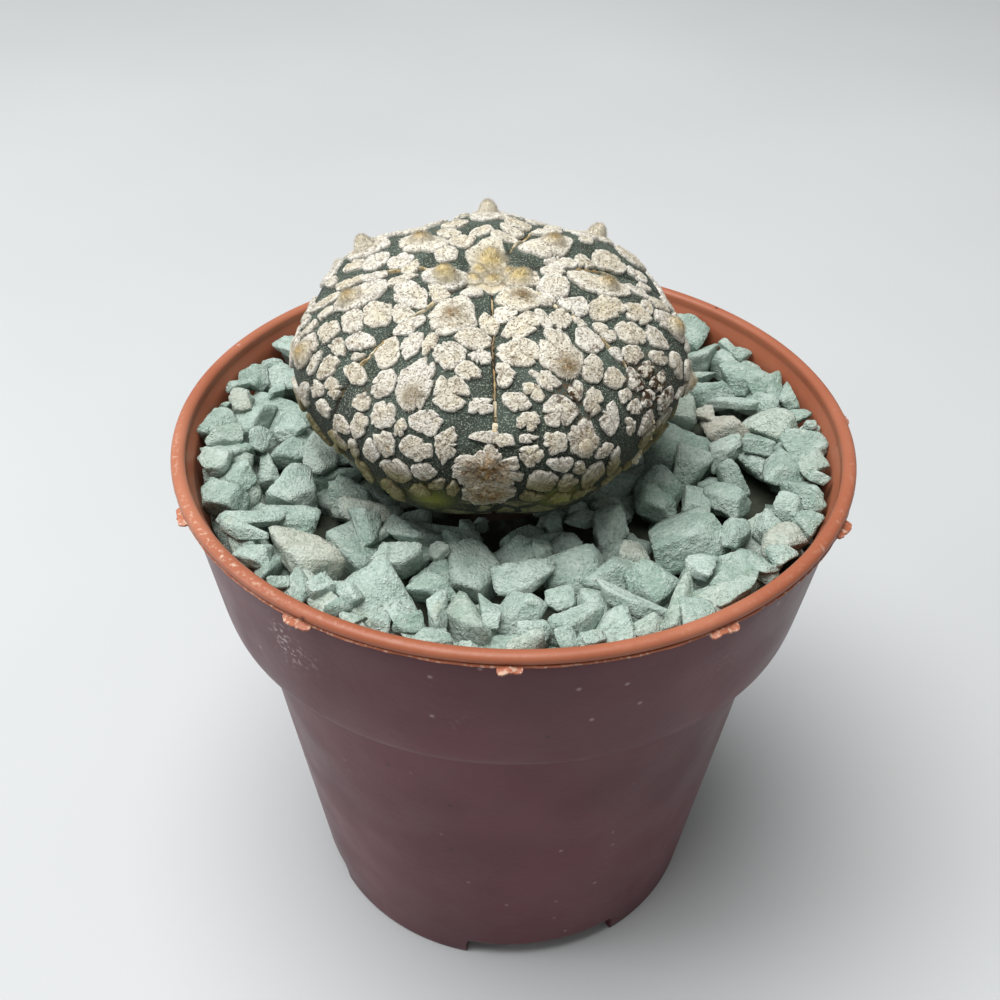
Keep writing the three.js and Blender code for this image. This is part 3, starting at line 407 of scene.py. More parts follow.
def potWall(batch):
    rows = potSection()
    angles = potColumns()
    lift = notchLift(angles)
    count = len(angles)
    foot, slope = pot["footRadius"], (pot["bodyRadius"] - pot["footRadius"]) / pot["collarBottom"]
    footRows = [i for i, row in enumerate(rows[:24]) if row[1] < 2.55 and i > 1]
    grid = []
    for i, (radius, height, wine) in enumerate(rows):
        across = np.full(count, radius)
        up = np.full(count, height)
        if i in footRows:
            share = (i - footRows[0]) / (len(footRows) - 1)
            lifted = foot + slope * lift - pot["wall"] * (1 - share)
            across = np.where(lift > height, lifted, across)
            up = np.maximum(up, lift)
        if abs(height - pot["height"] + pot["beadHeight"]) < 0.12 and radius > 26.9:
            across = across + 0.05 * ringNoise(angles / 360, 130, 11)
            across = across + 0.035 * ringNoise(angles / 360, 400, 12)
            across = np.minimum(across, pot["rimRadius"] + 0.04)
        if 30 < height < 47 and wine == 1:
            up = up + 0.02 * ringNoise(angles / 360, 40, 13)
        wobble = 0.035 * ringNoise(angles / 360, 7, 14) * min(height / 20, 1)
        grid.append(rimPlace(angles, across + wobble - 0.07 * (height > 47), up))
    points = np.concatenate(grid)
    around = np.tile(angles, len(rows))
    heights = np.repeat(rows[:, 1], count)
    wines = np.repeat(rows[:, 2], count)
    # The lime value holds pale lime, and on the rim's crest a painted sheen too
    lime, scuff = limeAndSheenValue(points, around, heights, wines), scuffValue(points) * (wines > 0.9)
    faces = ringFaces(len(rows), count)
    addTo(batch, points, faces, wine=wines, lime=lime, scuff=scuff)
    return points[:count], points[-count:]


# Pale lime and a painted sheen lie along the rim's crest, most at the left, and lime lies in patches under
# the bead
def limeAndSheenValue(points, around, heights, wines):
    left = np.exp(-((around - 212) / 24) ** 2) + 0.2 * np.exp(-((around - 330) / 14) ** 2)
    radius = np.hypot(points[:, 0], points[:, 1])
    crest = np.exp(-((radius - pot["rimRadius"] + 0.45) / 0.2) ** 2) * (heights > 48)
    under = (np.abs(heights - pot["height"] + pot["beadHeight"]) < 0.1) * (wines < 0.6) * 0.5
    patch = bumpNoise(points, 1.1, 21) * 0.6 + 0.6
    return np.clip(crest * (left + 0.1) * patch * 0.5 + under * patch * 0.8, 0, 1)


# Pale rubbed marks on the outside of the wall: azimuth, height, reach sideways and upward, strength
rubbedMarks = [
    (231.5, 43.2, 1.1, 1.6, 0.9), (234.5, 41.6, 1.3, 0.5, 0.8), (252, 26, 0.9, 0.5, 0.5),
    (239, 44.6, 0.7, 0.3, 0.5), (262, 39.5, 0.8, 0.4, 0.35), (305, 41.5, 0.9, 0.5, 0.4),
    (60, 40, 1.4, 0.9, 0.7), (140, 22, 1.2, 0.8, 0.6),
]


def scuffValue(points):
    around = np.arctan2(points[:, 1], points[:, 0]) / degree % 360
    total = np.zeros(len(points))
    for azimuth, height, sideways, upward, strength in rubbedMarks:
        across = (around - azimuth) * degree * 25
        up = points[:, 2] - height
        total += strength * np.exp(-(across / sideways) ** 2 - (up / upward) ** 2)
    return total


# A flat floor face with five drain holes, and the holes' own edges
def potFloor(batch, outline, height, upward):
    loops = [outline[:, :2]]
    for i in range(5):
        azimuth = (pot["notchMiddle"] + i * 90) * degree
        reach = pot["drainCircle"] if i < 4 else 0
        turns = np.arange(28) / 28 * 2 * math.pi
        x = reach * math.cos(azimuth) + pot["drainRadius"] * np.cos(turns)
        y = reach * math.sin(azimuth) + pot["drainRadius"] * np.sin(turns)
        loops.append(np.stack([x, y], 1))
    corners = np.concatenate(loops)
    edges = []
    start = 0
    for loop in loops:
        edges += [(start + i, start + (i + 1) % len(loop)) for i in range(len(loop))]
        start += len(loop)
    found = delaunay_2d_cdt([Vector(corner) for corner in corners], edges, [], 0, 1e-6)
    flat = np.array([list(corner) for corner in found[0]])
    faces = []
    for face in found[2]:
        middle = flat[list(face)].mean(0)
        inHole = any(np.hypot(*(middle - loop.mean(0))) < pot["drainRadius"] for loop in loops[1:])
        if np.hypot(*middle) < np.hypot(*outline[:, :2].T).max() and not inHole:
            faces.append(list(face) if upward else list(face)[::-1])
    points = np.column_stack([flat, np.full(len(flat), height)])
    addTo(batch, points, faces, wine=0.0 if upward else 0.4, lime=0.0, scuff=0.0)
    return loops[1:]


# Small moulding tabs that stand out under the bead: bent strips, thinner and drooping outward
def potTabs(batch):
    for i in range(pot["tabs"]):
        azimuth = pot["tabStart"] + i * pot["tabStep"]
        across, out = 15, 5
        length = pot["tabLength"] * (0.9 + 0.16 * math.sin(i * 2.3))
        sideways = np.linspace(-0.5, 0.5, across)
        ends = np.clip((0.5 - np.abs(sideways)) * 7, 0, 1) ** 0.5
        reach = (0.44 + 0.1 * np.sin(i * 1.7 + sideways * 5)) * (0.45 + 0.55 * ends)
        reach = reach + 0.07 * ringNoise(sideways * 0.4 + i * 0.37, 60, 31)
        layers = []
        for top in (1, -1):
            for j in range(out):
                share = j / (out - 1)
                radius = pot["rimRadius"] - 0.45 + share * (reach + 0.4)
                thick = 0.11 * (1 - 0.45 * share ** 3) * top
                droop = -0.1 * share + 0.05 * np.sin(sideways * 9 + i)
                angle = azimuth + sideways * length / pot["rimRadius"] / degree
                layers.append(rimPlace(angle, radius, pot["tabHeight"] + thick + droop))
        order = layers[:out] + layers[out:][::-1]
        points = np.concatenate(order)
        rows = len(order)
        faces = []
        for row in range(rows):
            for column in range(across - 1):
                here, below = row * across + column, (row + 1) % rows * across + column
                faces.append([here, below, below + 1, here + 1])
        for column, turn in ((0, 1), (across - 1, -1)):
            faces.append([row * across + column for row in range(rows)][::turn])
        addTo(batch, points, faces, wine=0.0, lime=0.35, scuff=0.0)


def makePot():
    batch = newBatch(("wine", "lime", "scuff"))
    lowest, highest = pot["recess"], pot["recess"] + pot["wall"]
    under, floor = potWall(batch)
    potFloor(batch, under, lowest, False)
    for hole in potFloor(batch, floor, highest, True):
        rows = [np.column_stack([hole, np.full(len(hole), z)]) for z in (highest, lowest)]
        addTo(batch, np.concatenate(rows), ringFaces(2, len(hole)), wine=0.4, lime=0.0, scuff=0.0)
    potTabs(batch)
    piece = batchPiece("potShell", batch, makePlastic(), sharp=42)
    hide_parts("pot")


makePot()
print("pot made")


# The stem's surface

stem = {
    "x": -1.93, "z": 55.4, "lean": 0.095, "radius": 15.35, "crown": 7.2, "belly": 10.3, "fullness": 0.68,
    "ribs": 7, "frontFurrow": 272.2, "swell": 0.55,
    "dimpleDepth": 1.2, "dimpleRadius": 2.6, "neck": 5, "rootLength": 22, "rootTip": 0.9, "rootSpan": 60,
    "lowestFleck": 114,
}
neckAngle = 180 - math.asin((stem["neck"] / stem["radius"]) ** (1 / stem["fullness"])) / degree


def meridian(angle):
    angle = np.asarray(angle, float)
    tall = np.where(angle < 90, stem["crown"], stem["belly"])
    share = np.clip((angle - neckAngle) / stem["rootSpan"], 0, None)
    neckHeight = stem["belly"] * math.cos(neckAngle * degree)
    onRoot = angle > neckAngle
    bulge = stem["radius"] * np.abs(np.sin(angle * degree)) ** np.where(angle < 90, 1, stem["fullness"])
    radius = np.where(onRoot, stem["neck"] + (stem["rootTip"] - stem["neck"]) * share ** 0.8, bulge)
    height = np.where(onRoot, neckHeight - stem["rootLength"] * share, tall * np.cos(angle * degree))
    return radius, height


# A flat map of the stem that keeps shapes: the distance from its middle for each polar angle
def fillMap():
    angles = np.arange(0.5, neckAngle + stem["rootSpan"], 0.5)
    radius, height = meridian(angles)
    run = np.hypot(np.diff(radius), np.diff(height))
    grown = np.concatenate([[0], np.cumsum(2 * run / (radius[1:] + radius[:-1]))])
    return np.concatenate([[0], angles]), np.concatenate([[0], radius[0] * np.exp(grown)])


mapAngles, mapDistances = fillMap()


def mapDistance(angle):
    return np.interp(angle, mapAngles, mapDistances)


def fromFurrow(azimuth):
    turns = (np.asarray(azimuth) - stem["frontFurrow"]) / (360 / stem["ribs"])
    return (turns - np.floor(turns + 0.5)) * 360 / stem["ribs"]


# Points of the stem, and their outward directions, in the stem's own frame
def stemPoint(azimuth, angle, raised=0.0, creased=False):
    radius, height = meridian(angle)
    radiusBelow, heightBelow = meridian(np.asarray(angle) + 0.2)
    radiusAbove, heightAbove = meridian(np.maximum(np.asarray(angle) - 0.2, 0))
    outward, upward = heightAbove - heightBelow, radiusBelow - radiusAbove
    size = np.hypot(outward, upward)
    outward, upward = outward / size, upward / size
    belly = np.where(angle > neckAngle, 0, np.minimum(1, (neckAngle - angle) / 40))
    fade = np.minimum(1, radius / 6) * belly
    away = fromFurrow(azimuth) * degree
    lift = -stem["swell"] * fade * (1 + np.cos(away * stem["ribs"])) / 2 + raised
    if creased:
        lift = lift - skin["creaseDepth"] * fade * np.exp(-(radius * away / skin["creaseWidth"]) ** 2)
    dimple = np.where(angle < 90, stem["dimpleDepth"] * np.exp(-(radius / stem["dimpleRadius"]) ** 2), 0)
    across = radius + outward * lift
    cos, sin = np.cos(azimuth * degree), np.sin(azimuth * degree)
    place = np.stack(np.broadcast_arrays(across * cos, across * sin, height + upward * lift - dimple), -1)
    normal = np.stack(np.broadcast_arrays(outward * cos, outward * sin, upward), -1)
    return place, normal


# From the stem's own frame to the world
def stood(points):
    cos, sin = math.cos(stem["lean"]), math.sin(stem["lean"])
    x, y, z = points[..., 0], points[..., 1], points[..., 2]
    return np.stack([x + stem["x"], y * cos - z * sin, y * sin + z * cos + stem["z"]], -1)


# Azimuth and polar angle of the points that lie down and sideways millimetres from a place
def stepFrom(azimuth, angle, down, sideways):
    radius = meridian(angle)[0]
    distance = mapDistance(angle)
    scale = distance / radius
    cos, sin = math.cos(azimuth * degree), math.sin(azimuth * degree)
    x = distance * cos + scale * (down * cos - sideways * sin)
    y = distance * sin + scale * (down * sin + sideways * cos)
    return np.arctan2(y, x) / degree, np.interp(np.hypot(x, y), mapDistances, mapAngles)


# Where the felt flecks lie

# Areoles, rib by rib: azimuth, polar angle, length, width and turn of the pad, then where its wool lies as a
# polar angle, and the kind of tuft
areoles = [
    [303, 16, 3.6, 2.9, 85, 15.5, "flat"], [300, 39.8, 4.5, 3.1, 0, 45.5, "flat"],
    [296.3, 75.3, 3.1, 2.1, 0, 79, "bump"], [335, 9.5, 2.5, 2.1, 0, 8.5, "crown"],
    [357, 32, 4.5, 2.9, 0, 34.5, "side"], [353, 62, 3.8, 2.1, 0, 65, "side"],
    [348, 93, 3.2, 2.2, 0, 95, "side"], [42, 22, 4.2, 3.0, 0, 24.5, "side"],
    [47, 51, 4.1, 2.8, 0, 53, "knob"], [43, 82, 3.6, 2.4, 0, 85, "knob"],
    [92, 9, 3.4, 3.2, 0, 5.5, "crown"], [92, 43, 4.3, 2.9, 0, 47, "knob"],
    [95, 76, 3.9, 2.5, 0, 79, "knob"], [140, 26, 4.2, 3.0, 0, 27.5, "side"],
    [148, 48, 4.1, 2.7, 0, 50.5, "knob"], [143, 82, 3.7, 2.4, 0, 85, "knob"],
    [197, 13.5, 3.4, 2.6, 0, 13, "crown"], [189.5, 39.5, 4.8, 3.0, 0, 43.5, "side"],
    [199, 68, 3.4, 2.2, 0, 70.5, "side"], [244, 24, 3.9, 3.3, 30, 24, "flat"],
    [246, 51.5, 4.8, 2.7, 0, 56.5, "cushion"],
]

# Flecks that the front shows plainly: azimuth, polar angle, length, width, turn
plainFlecks = [
    [269.4, 23.7, 2.1, 1.25, 15], [281.3, 20.7, 1.7, 1.4, 95], [261.3, 30, 3.1, 1.8, 95],
    [289.7, 26.6, 3.4, 1.8, 97], [265.8, 36.4, 2.4, 1.1, 90], [253.3, 38, 2.7, 1.9, 100],
    [283.3, 35.6, 3.3, 2.0, 65], [261.4, 42, 2.8, 1.25, 95], [275.3, 42.8, 1.8, 1.5, 10],
    [257, 51.5, 3.0, 2.4, 120], [290, 47.5, 3.2, 1.3, 52], [285.4, 50.6, 2.1, 1.1, 50],
    [267.6, 55, 2.5, 1.1, 102], [280, 54, 2.5, 1.35, 65], [281.8, 62.5, 1.9, 1.7, 60],
    [291.3, 61, 2.6, 2.4, 10], [281.2, 69.8, 1.8, 1.1, 80], [281.8, 78, 1.9, 1.7, 150],
    [272, 69.8, 4.4, 1.15, 88], [270.6, 87.5, 5.3, 4.0, 90], [270, 103, 4.4, 3.0, 90],
    [304, 26.5, 1.8, 1.4, 0], [314, 28.3, 2.9, 1.6, 100], [317.6, 39.6, 2.4, 2.1, 0],
    [309.4, 49.6, 2.5, 1.7, 125], [298.6, 55, 2.0, 1.1, 175], [303.1, 62, 2.5, 1.7, 0],
    [306, 69, 2.7, 1.7, 170], [288.5, 73.5, 1.85, 1.7, 0], [314.8, 57, 2.3, 1.8, 20],
    [315.2, 65, 1.9, 1.1, 170], [316.3, 72, 1.8, 1.3, 160], [312.8, 80, 1.6, 1.0, 170],
    [301.8, 86.5, 3.1, 0.95, 110], [288.8, 87, 2.3, 1.3, 105], [294.6, 91, 1.5, 0.95, 170],
    [305.8, 97.5, 3.4, 1.25, 0], [299.1, 98.5, 3.4, 1.7, 140], [285.5, 95.5, 3.0, 2.4, 120],
    [291.5, 98, 2.0, 1.6, 100], [282.5, 105, 3.4, 1.1, 105], [297.5, 108, 2.6, 1.0, 100],
    [290.5, 108.5, 2.2, 1.1, 95], [307.5, 107, 1.8, 1.1, 100], [338, 19.2, 2.4, 1.9, 90],
    [320, 19.8, 1.8, 0.9, 60], [330, 27.8, 2.1, 1.7, 20], [340, 36.3, 3.0, 1.9, 50],
    [322.5, 32.5, 1.9, 0.6, 5], [327.5, 41, 2.0, 1.1, 20], [346.5, 47, 2.6, 1.8, 35],
    [335.2, 48.2, 2.6, 1.6, 25], [323.3, 49.7, 1.5, 0.8, 0], [328.2, 54, 1.9, 1.6, 60],
    [353, 50.5, 1.8, 1.2, 90], [341, 58, 2.6, 1.5, 0], [335.5, 63, 2.2, 1.3, 60],
    [328.5, 62.5, 2.4, 1.4, 110], [322.5, 62.5, 2.2, 1.5, 120], [329, 71, 2.8, 1.4, 125],
    [340.5, 73, 2.4, 1.3, 0], [323, 74.5, 3.0, 1.3, 120], [321.5, 87, 3.2, 1.7, 125],
    [329.5, 84, 2.6, 1.8, 120], [322, 98, 2.6, 1.5, 130], [330, 98, 2.6, 1.5, 120], [18, 21, 2.6, 1.3, 0],
    [0, 17.5, 1.9, 1.6, 90], [3, 47, 2.2, 1.3, 0], [1, 57, 2.4, 1.4, 0], [224.2, 32, 2.7, 1.4, 170],
    [235, 38.6, 2.5, 1.8, 12], [243, 36.8, 2.1, 1.1, 0], [227.8, 44, 2.7, 2.0, 30],
    [234.5, 55.5, 2.4, 1.8, 5], [252, 65, 2.6, 1.9, 118], [245.7, 70, 1.75, 0.9, 170],
    [239, 67.5, 2.5, 2.0, 0], [241.6, 81, 2.1, 1.8, 30], [237.5, 89.5, 2.1, 1.5, 150],
    [251, 77.5, 2.3, 2.0, 90], [253.3, 91, 1.8, 1.6, 45], [256.5, 97, 1.6, 1.1, 100],
    [258.8, 73.5, 3.9, 1.6, 172], [261, 99.5, 1.9, 1.2, 0], [245, 94, 2.6, 2.1, 60],
    [252, 103, 2.2, 1.3, 90], [230.4, 67.5, 1.7, 1.6, 0], [232, 77, 2.6, 1.4, 175],
    [230, 94.5, 2.2, 1.0, 0], [221.7, 58, 2.5, 1.3, 85], [206.5, 25.3, 3.2, 1.9, 100],
    [215.5, 17.8, 2.1, 1.2, 80], [214.2, 30.8, 2.0, 1.5, 90], [207.8, 36.6, 2.8, 2.0, 110],
    [203.3, 45.3, 2.3, 1.8, 90], [212.6, 48, 2.8, 1.5, 115], [200.6, 55.5, 2.4, 1.8, 15],
    [209, 55.3, 2.3, 1.3, 100], [211, 64.3, 2.9, 1.3, 0], [217.5, 52, 1.7, 0.6, 150],
    [205, 67, 2.2, 1.0, 15], [189, 25.8, 2.6, 1.2, 10], [218.5, 70, 2.8, 1.2, 88], [211.7, 77, 1.6, 1.1, 0],
    [216.5, 85, 2.0, 1.3, 80], [224, 86.5, 2.3, 1.5, 88], [222, 99, 2.4, 1.2, 90], [190, 54.5, 1.9, 1.1, 0],
    [191.5, 63, 2.0, 1.2, 0], [181, 55, 3.2, 1.3, 0], [173, 46, 3.0, 1.2, 0], [173, 36, 2.6, 1.2, 0],
    [170, 24, 1.9, 1.3, 90], [163, 28.5, 2.0, 1.8, 0], [160, 39, 2.3, 1.8, 20], [160, 48, 2.0, 1.2, 0],
    [118, 19.5, 2.2, 1.7, 0], [118, 29, 2.2, 1.6, 0], [98, 22, 1.8, 1.4, 90], [80, 19, 1.8, 1.3, 90],
]

# Rounds of seeded flecks: shortest and longest, slimmest and widest for their length, and how many are tried
fleckRounds = [[2.5, 3.3, 0.55, 0.8, 900], [1.9, 2.5, 0.6, 0.9, 2200], [1.2, 1.7, 0.6, 0.95, 3200]]
fleckSeed = 20417
bareSpots = [[314.5, 96, 1.9], [254, 110, 1.0]]  # azimuth, polar angle and radius


def makeFleck(azimuth, angle, length, width, turn, wool=None, kind=None):
    return {"azimuth": azimuth, "angle": angle, "turn": turn * degree, "wool": wool, "kind": kind,
            "length": length / 2, "width": width / 2, "size": math.sqrt(length * width) / 2,
            "middle": stemPoint(azimuth, angle)[0]}


def placeFlecks():
    flecks = [makeFleck(*row) for row in areoles + plainFlecks]
    middles = [fleck["middle"] for fleck in flecks]
    sizes = [fleck["size"] for fleck in flecks]
    bare = [(stemPoint(azimuth, angle)[0], radius) for azimuth, angle, radius in bareSpots]
    random = makeRandom(fleckSeed)
    for shortest, longest, slimmest, widest, tries in fleckRounds:
        for i in range(tries):
            azimuth = random() * 360
            angle = 9 + random() * (stem["lowestFleck"] - 9)
            length = shortest + random() * (longest - shortest)
            width = length * (slimmest + random() * (widest - slimmest))
            turn = random() * 180
            if random() > math.sin(angle * degree):
                continue
            fleck = makeFleck(azimuth, angle, length, width, turn)
            gap = 0.2 + 0.25 * min(1, angle / 90)
            edge = abs(fromFurrow(azimuth)) * degree * meridian(angle)[0] / fleck["size"]
            far = np.sqrt(((np.array(middles) - fleck["middle"]) ** 2).sum(1))
            clear = (far > fleck["size"] + np.array(sizes) + gap).all()
            allowed = all(math.dist(fleck["middle"], spot) >= radius + fleck["size"] for spot, radius in bare)
            if clear and allowed and edge > 0.75:
                flecks.append(fleck)
                middles.append(fleck["middle"])
                sizes.append(fleck["size"])
    return flecks


# The two corky pads that have grown into one across the front furrow
corkyPads = [(270.6, 87.5), (270, 103)]


def isCorky(fleck):
    return (fleck["azimuth"], fleck["angle"]) in corkyPads


def reach(fleck, direction):
    along = np.cos(direction - fleck["turn"]) / fleck["length"]
    across = np.sin(direction - fleck["turn"]) / fleck["width"]
    return 1 / np.hypot(along, across)


# Outline sizes of a fleck over a full turn, 0 being downhill: an uneven oval that keeps off its neighbours
def fleckOutline(fleck, flecks, direction, gap, random):
    phases = [random() * fullTurn for i in range(3)]
    radius = float(meridian(fleck["angle"])[0])
    own = mapDistance(fleck["angle"])
    scale = own / radius
    lobes = (1 + 0.07 * np.cos(2 * direction + phases[0]) + 0.06 * np.cos(3 * direction + phases[1])
             + 0.04 * np.cos(5 * direction + phases[2]))
    size = reach(fleck, direction) * lobes
    turn = fleck["azimuth"] * degree
    for other in flecks:
        far = math.dist(fleck["middle"], other["middle"])
        if other is fleck or far > fleck["length"] + other["length"] + 1:
            continue
        there = mapDistance(other["angle"])
        x = there * math.cos(other["azimuth"] * degree) - own * math.cos(turn)
        y = there * math.sin(other["azimuth"] * degree) - own * math.sin(turn)
        east = y * math.cos(turn) - x * math.sin(turn)
        down = x * math.cos(turn) + y * math.sin(turn)
        distance, toward = math.hypot(east, down) / scale, math.atan2(east, down)
        mine = reach(fleck, toward)
        others = reach(other, toward + (fleck["azimuth"] - other["azimuth"]) * degree)
        space = -0.5 if isCorky(fleck) and isCorky(other) else gap
        limit = max(distance * mine / (mine + others) - space / 2, 0.25)
        facing = np.cos(direction - toward)
        size = np.where(facing > 0.05, np.minimum(size, limit / np.maximum(facing, 0.05) ** 0.6), size)
    away = float(fromFurrow(fleck["azimuth"])) * degree * radius
    sideways = np.sin(direction) * np.sign(-away)
    if abs(away) > 0.5 and not isCorky(fleck):
        limit = max(abs(away) - 0.22, 0.3)
        size = np.where(sideways > 0.05, np.minimum(size, limit / np.maximum(sideways, 0.05)), size)
    return size


flecks = placeFlecks()
print("flecks placed:", len(flecks))


# The skin

skin = {"perRib": 50, "crumple": 0.03, "creaseDepth": 0.26, "creaseWidth": 0.15}


def makeSkinMaterial():
    paint = Paint("stemSkin")
    crease, dirt, lime, low = paint.readAll("crease", "dirt", "yellow", "low")
    paint.colour = paint.blend(paint.patches(450.0, 4.0, 0.35, 0.66), (36, 45, 38), (58, 70, 63))
    # Painted shade: the skin is darkened towards the underside, where less light falls
    paint.coat(low, (30, 34, 26))
    paint.coat(lime, (138, 142, 46))

    # Pale pinpricks all over the skin, fainter towards the underside as part of the painted shade, with
    # larger dots here and there
    fine = paint.patches(9000.0, 2.0, 0.5, 0.68)
    paint.coat(fine, (144, 153, 139), paint.minus(0.85, paint.times(low, 0.45)))
    paint.coat(paint.dots(3300.0, 0.26, 0.12), (190, 192, 180), 0.55)

    # Under the belly the felt lies in thin olive patches
    edges = addNode(paint.tree, "ShaderNodeTexVoronoi", {"Vector": paint.place, "Scale": 430.0},
                    feature="DISTANCE_TO_EDGE").outputs["Distance"]
    wear, _ = paint.crumbs(2600.0, 0.5)
    inside = paint.stretch(paint.plus(edges, paint.times(wear, 0.2)), 0.19, 0.24)
    felted = paint.times(inside, paint.read("under"))
    thin = paint.blend(paint.stretch(wear, 0.42, 0.6), (92, 88, 60), (134, 130, 98))
    paint.coat(felted, thin, paint.minus(1.0, lime))

    # The furrow's dry brown line and the crumbs of soil beside some pads
    torn = paint.patches(1500.0, 4.0, 0.54, 0.62)
    paint.coat(crease, paint.blend(torn, (50, 37, 25), (166, 144, 104)))
    paint.coat(paint.patches(3000.0, 3.0, 0.5, 0.57), (84, 64, 46), dirt)
    pimples, _ = paint.crumbs(4500.0, 0.35)
    height = paint.plus(paint.plus(pimples, paint.times(fine, 0.5)), paint.times(felted, 1.2))
    return paint.finished(0.7, height, 0.00008, shine=0.3)


# How near points are to spots on the stem, each as azimuth, polar angle, size and strength
def spotted(points, spots):
    total = np.zeros(len(points))
    for azimuth, angle, size, strength in spots:
        far = np.sqrt(((points - stemPoint(azimuth, angle)[0]) ** 2).sum(1))
        total += strength * np.exp(-(far / size) ** 2)
    return np.clip(total, 0, 1)


# Bare yellow spots, and crumbs of soil
yellowSpots = [(254, 110, 1.3, 0.9), (291, 110, 1.2, 0.95), (240, 113, 0.9, 0.5)]
dirtSpots = [(297, 54, 1.1, 0.9), (294, 60, 0.9, 0.8), (300, 66, 0.8, 0.5), (324, 64, 1.6, 0.75),
             (329, 70, 2.1, 0.75), (327, 81, 1.8, 0.55), (309.4, 52, 0.7, 0.6), (230, 62, 0.8, 0.5)]


def makeSkin():
    share = np.arange(skin["perRib"]) / skin["perRib"] * 2 - 1
    spread = 180 / stem["ribs"] * (0.4 * share + 0.6 * np.sin(share * math.pi / 2))
    furrows = stem["frontFurrow"] + np.arange(stem["ribs"]) * 360 / stem["ribs"]
    azimuths = (furrows[:, None] + 180 / stem["ribs"] + spread[None, :]).ravel()
    angles = np.concatenate([[0.6, 1.8, 3.2], np.arange(4.6, 130, 1.15), np.arange(131, neckAngle, 2.2),
                             np.linspace(neckAngle + 0.5, neckAngle + stem["rootSpan"], 12)])
    columns = len(azimuths)
    azimuth = np.tile(azimuths, len(angles))
    angle = np.repeat(angles, columns)
    flat = stemPoint(azimuth, angle)[0]
    crumple = skin["crumple"] * layered(flat, (1, 1.1, 41), (0.5, 0.45, 42))
    points = stemPoint(azimuth, angle, crumple, True)[0]
    tip = np.array([[0, 0, points[-1, 2] - 0.3]])
    crown = np.array([[0, 0, points[:columns, 2].mean()]])
    rows = ringFaces(len(angles), columns)[:, ::-1].tolist()
    count = len(points)
    for i in range(columns):
        after = (i + 1) % columns
        rows.append([count, i, after])
        rows.append([count + 1, count - columns + after, count - columns + i])
    points = np.concatenate([points, crown, tip])
    azimuth, angle = np.append(azimuth, [0, 0]), np.append(angle, [0, 230])
    flat = np.concatenate([flat, crown, tip])
    across = fromFurrow(azimuth) * degree * meridian(angle)[0] + 0.03 * bumpNoise(flat, 0.8, 44)
    crease = np.exp(-(across / 0.1) ** 2) * np.clip((118 - angle) / 6, 0, 1)
    crease = crease * np.clip(0.95 + 0.6 * bumpNoise(flat, 1.4, 43), 0, 1)
    # Painted shade: how far down the stem a point lies, which darkens the skin towards the underside
    low = np.clip((angle - 62) / 40, 0, 1)
    piece = makePiece("stemSkin", stood(points), rows, makeSkinMaterial(),
                      {"crease": crease, "yellow": spotted(flat, yellowSpots), "low": low,
                       "dirt": spotted(flat, dirtSpots), "under": np.clip((angle - 110) / 3, 0, 1)})
    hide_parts("cactus")


makeSkin()
print("skin made")


# The felt

felt = {"height": 0.28, "crown": 0.03, "cell": 0.105, "gap": 0.3, "sunk": 0.2}


def makeFeltMaterial():
    paint = Paint("feltFlecks")
    tone, age, cavity, rim = paint.readAll("tone", "age", "cavity", "rim")
    young = paint.blend(tone, (220, 212, 189), (229, 227, 219))
    old = paint.blend(tone, (189, 181, 163), (203, 199, 190))
    paint.colour = paint.blend(age, young, old)

    # Cloudy straw-coloured middles and whiter frayed rims
    middle = paint.times(paint.patches(620.0, 5.0, 0.46, 0.68), paint.minus(1.0, rim))
    paint.coat(middle, (206, 192, 154), 0.4)
    tuft, tuftPits = paint.crumbs(7400.0, 0.35)
    light = paint.stretch(tuft, 0.44, 0.6)
    paint.coat(light, (242, 240, 230), 0.45)
    paint.coat(tuftPits, (138, 120, 94), 0.6)
    paint.coat(rim, (238, 237, 230), paint.plus(paint.times(light, 0.35), 0.3))

    # Low flecks turn olive; wool stains its pad brown; pores are dark, and the cracks and wrinkles are
    # painted dark brown as shade in the grooves
    weathered = paint.patches(900.0, 4.0, 0.4, 0.62)
    paint.coat(paint.read("olive"), paint.blend(weathered, (126, 122, 90), (154, 149, 116)))
    paint.coat(paint.read("yellow"), (150, 152, 76), 0.6)
    torn = paint.patches(2400.0, 3.0, 0.4, 0.56)
    paint.coat(paint.read("stain"), (160, 128, 84), paint.plus(paint.times(torn, 0.6), 0.3))
    pits = paint.patches(6200.0, 2.0, 0.585, 0.66)
    paint.coat(pits, (120, 92, 62), 0.62)
    paint.coat(paint.dots(3000.0, 0.34, 0.22), (104, 74, 48), 0.7)
    # Painted shade: the cracks and wrinkles are darkened brown
    paint.coat(cavity, (104, 84, 58), paint.plus(paint.times(torn, 0.4), 0.3))
    paint.coat(paint.patches(2200.0, 4.0, 0.46, 0.58), (72, 56, 40), paint.read("dirt"))
    return paint.finished(0.97, paint.minus(tuft, paint.times(pits, 0.35)), 0.00034, shine=0.1)


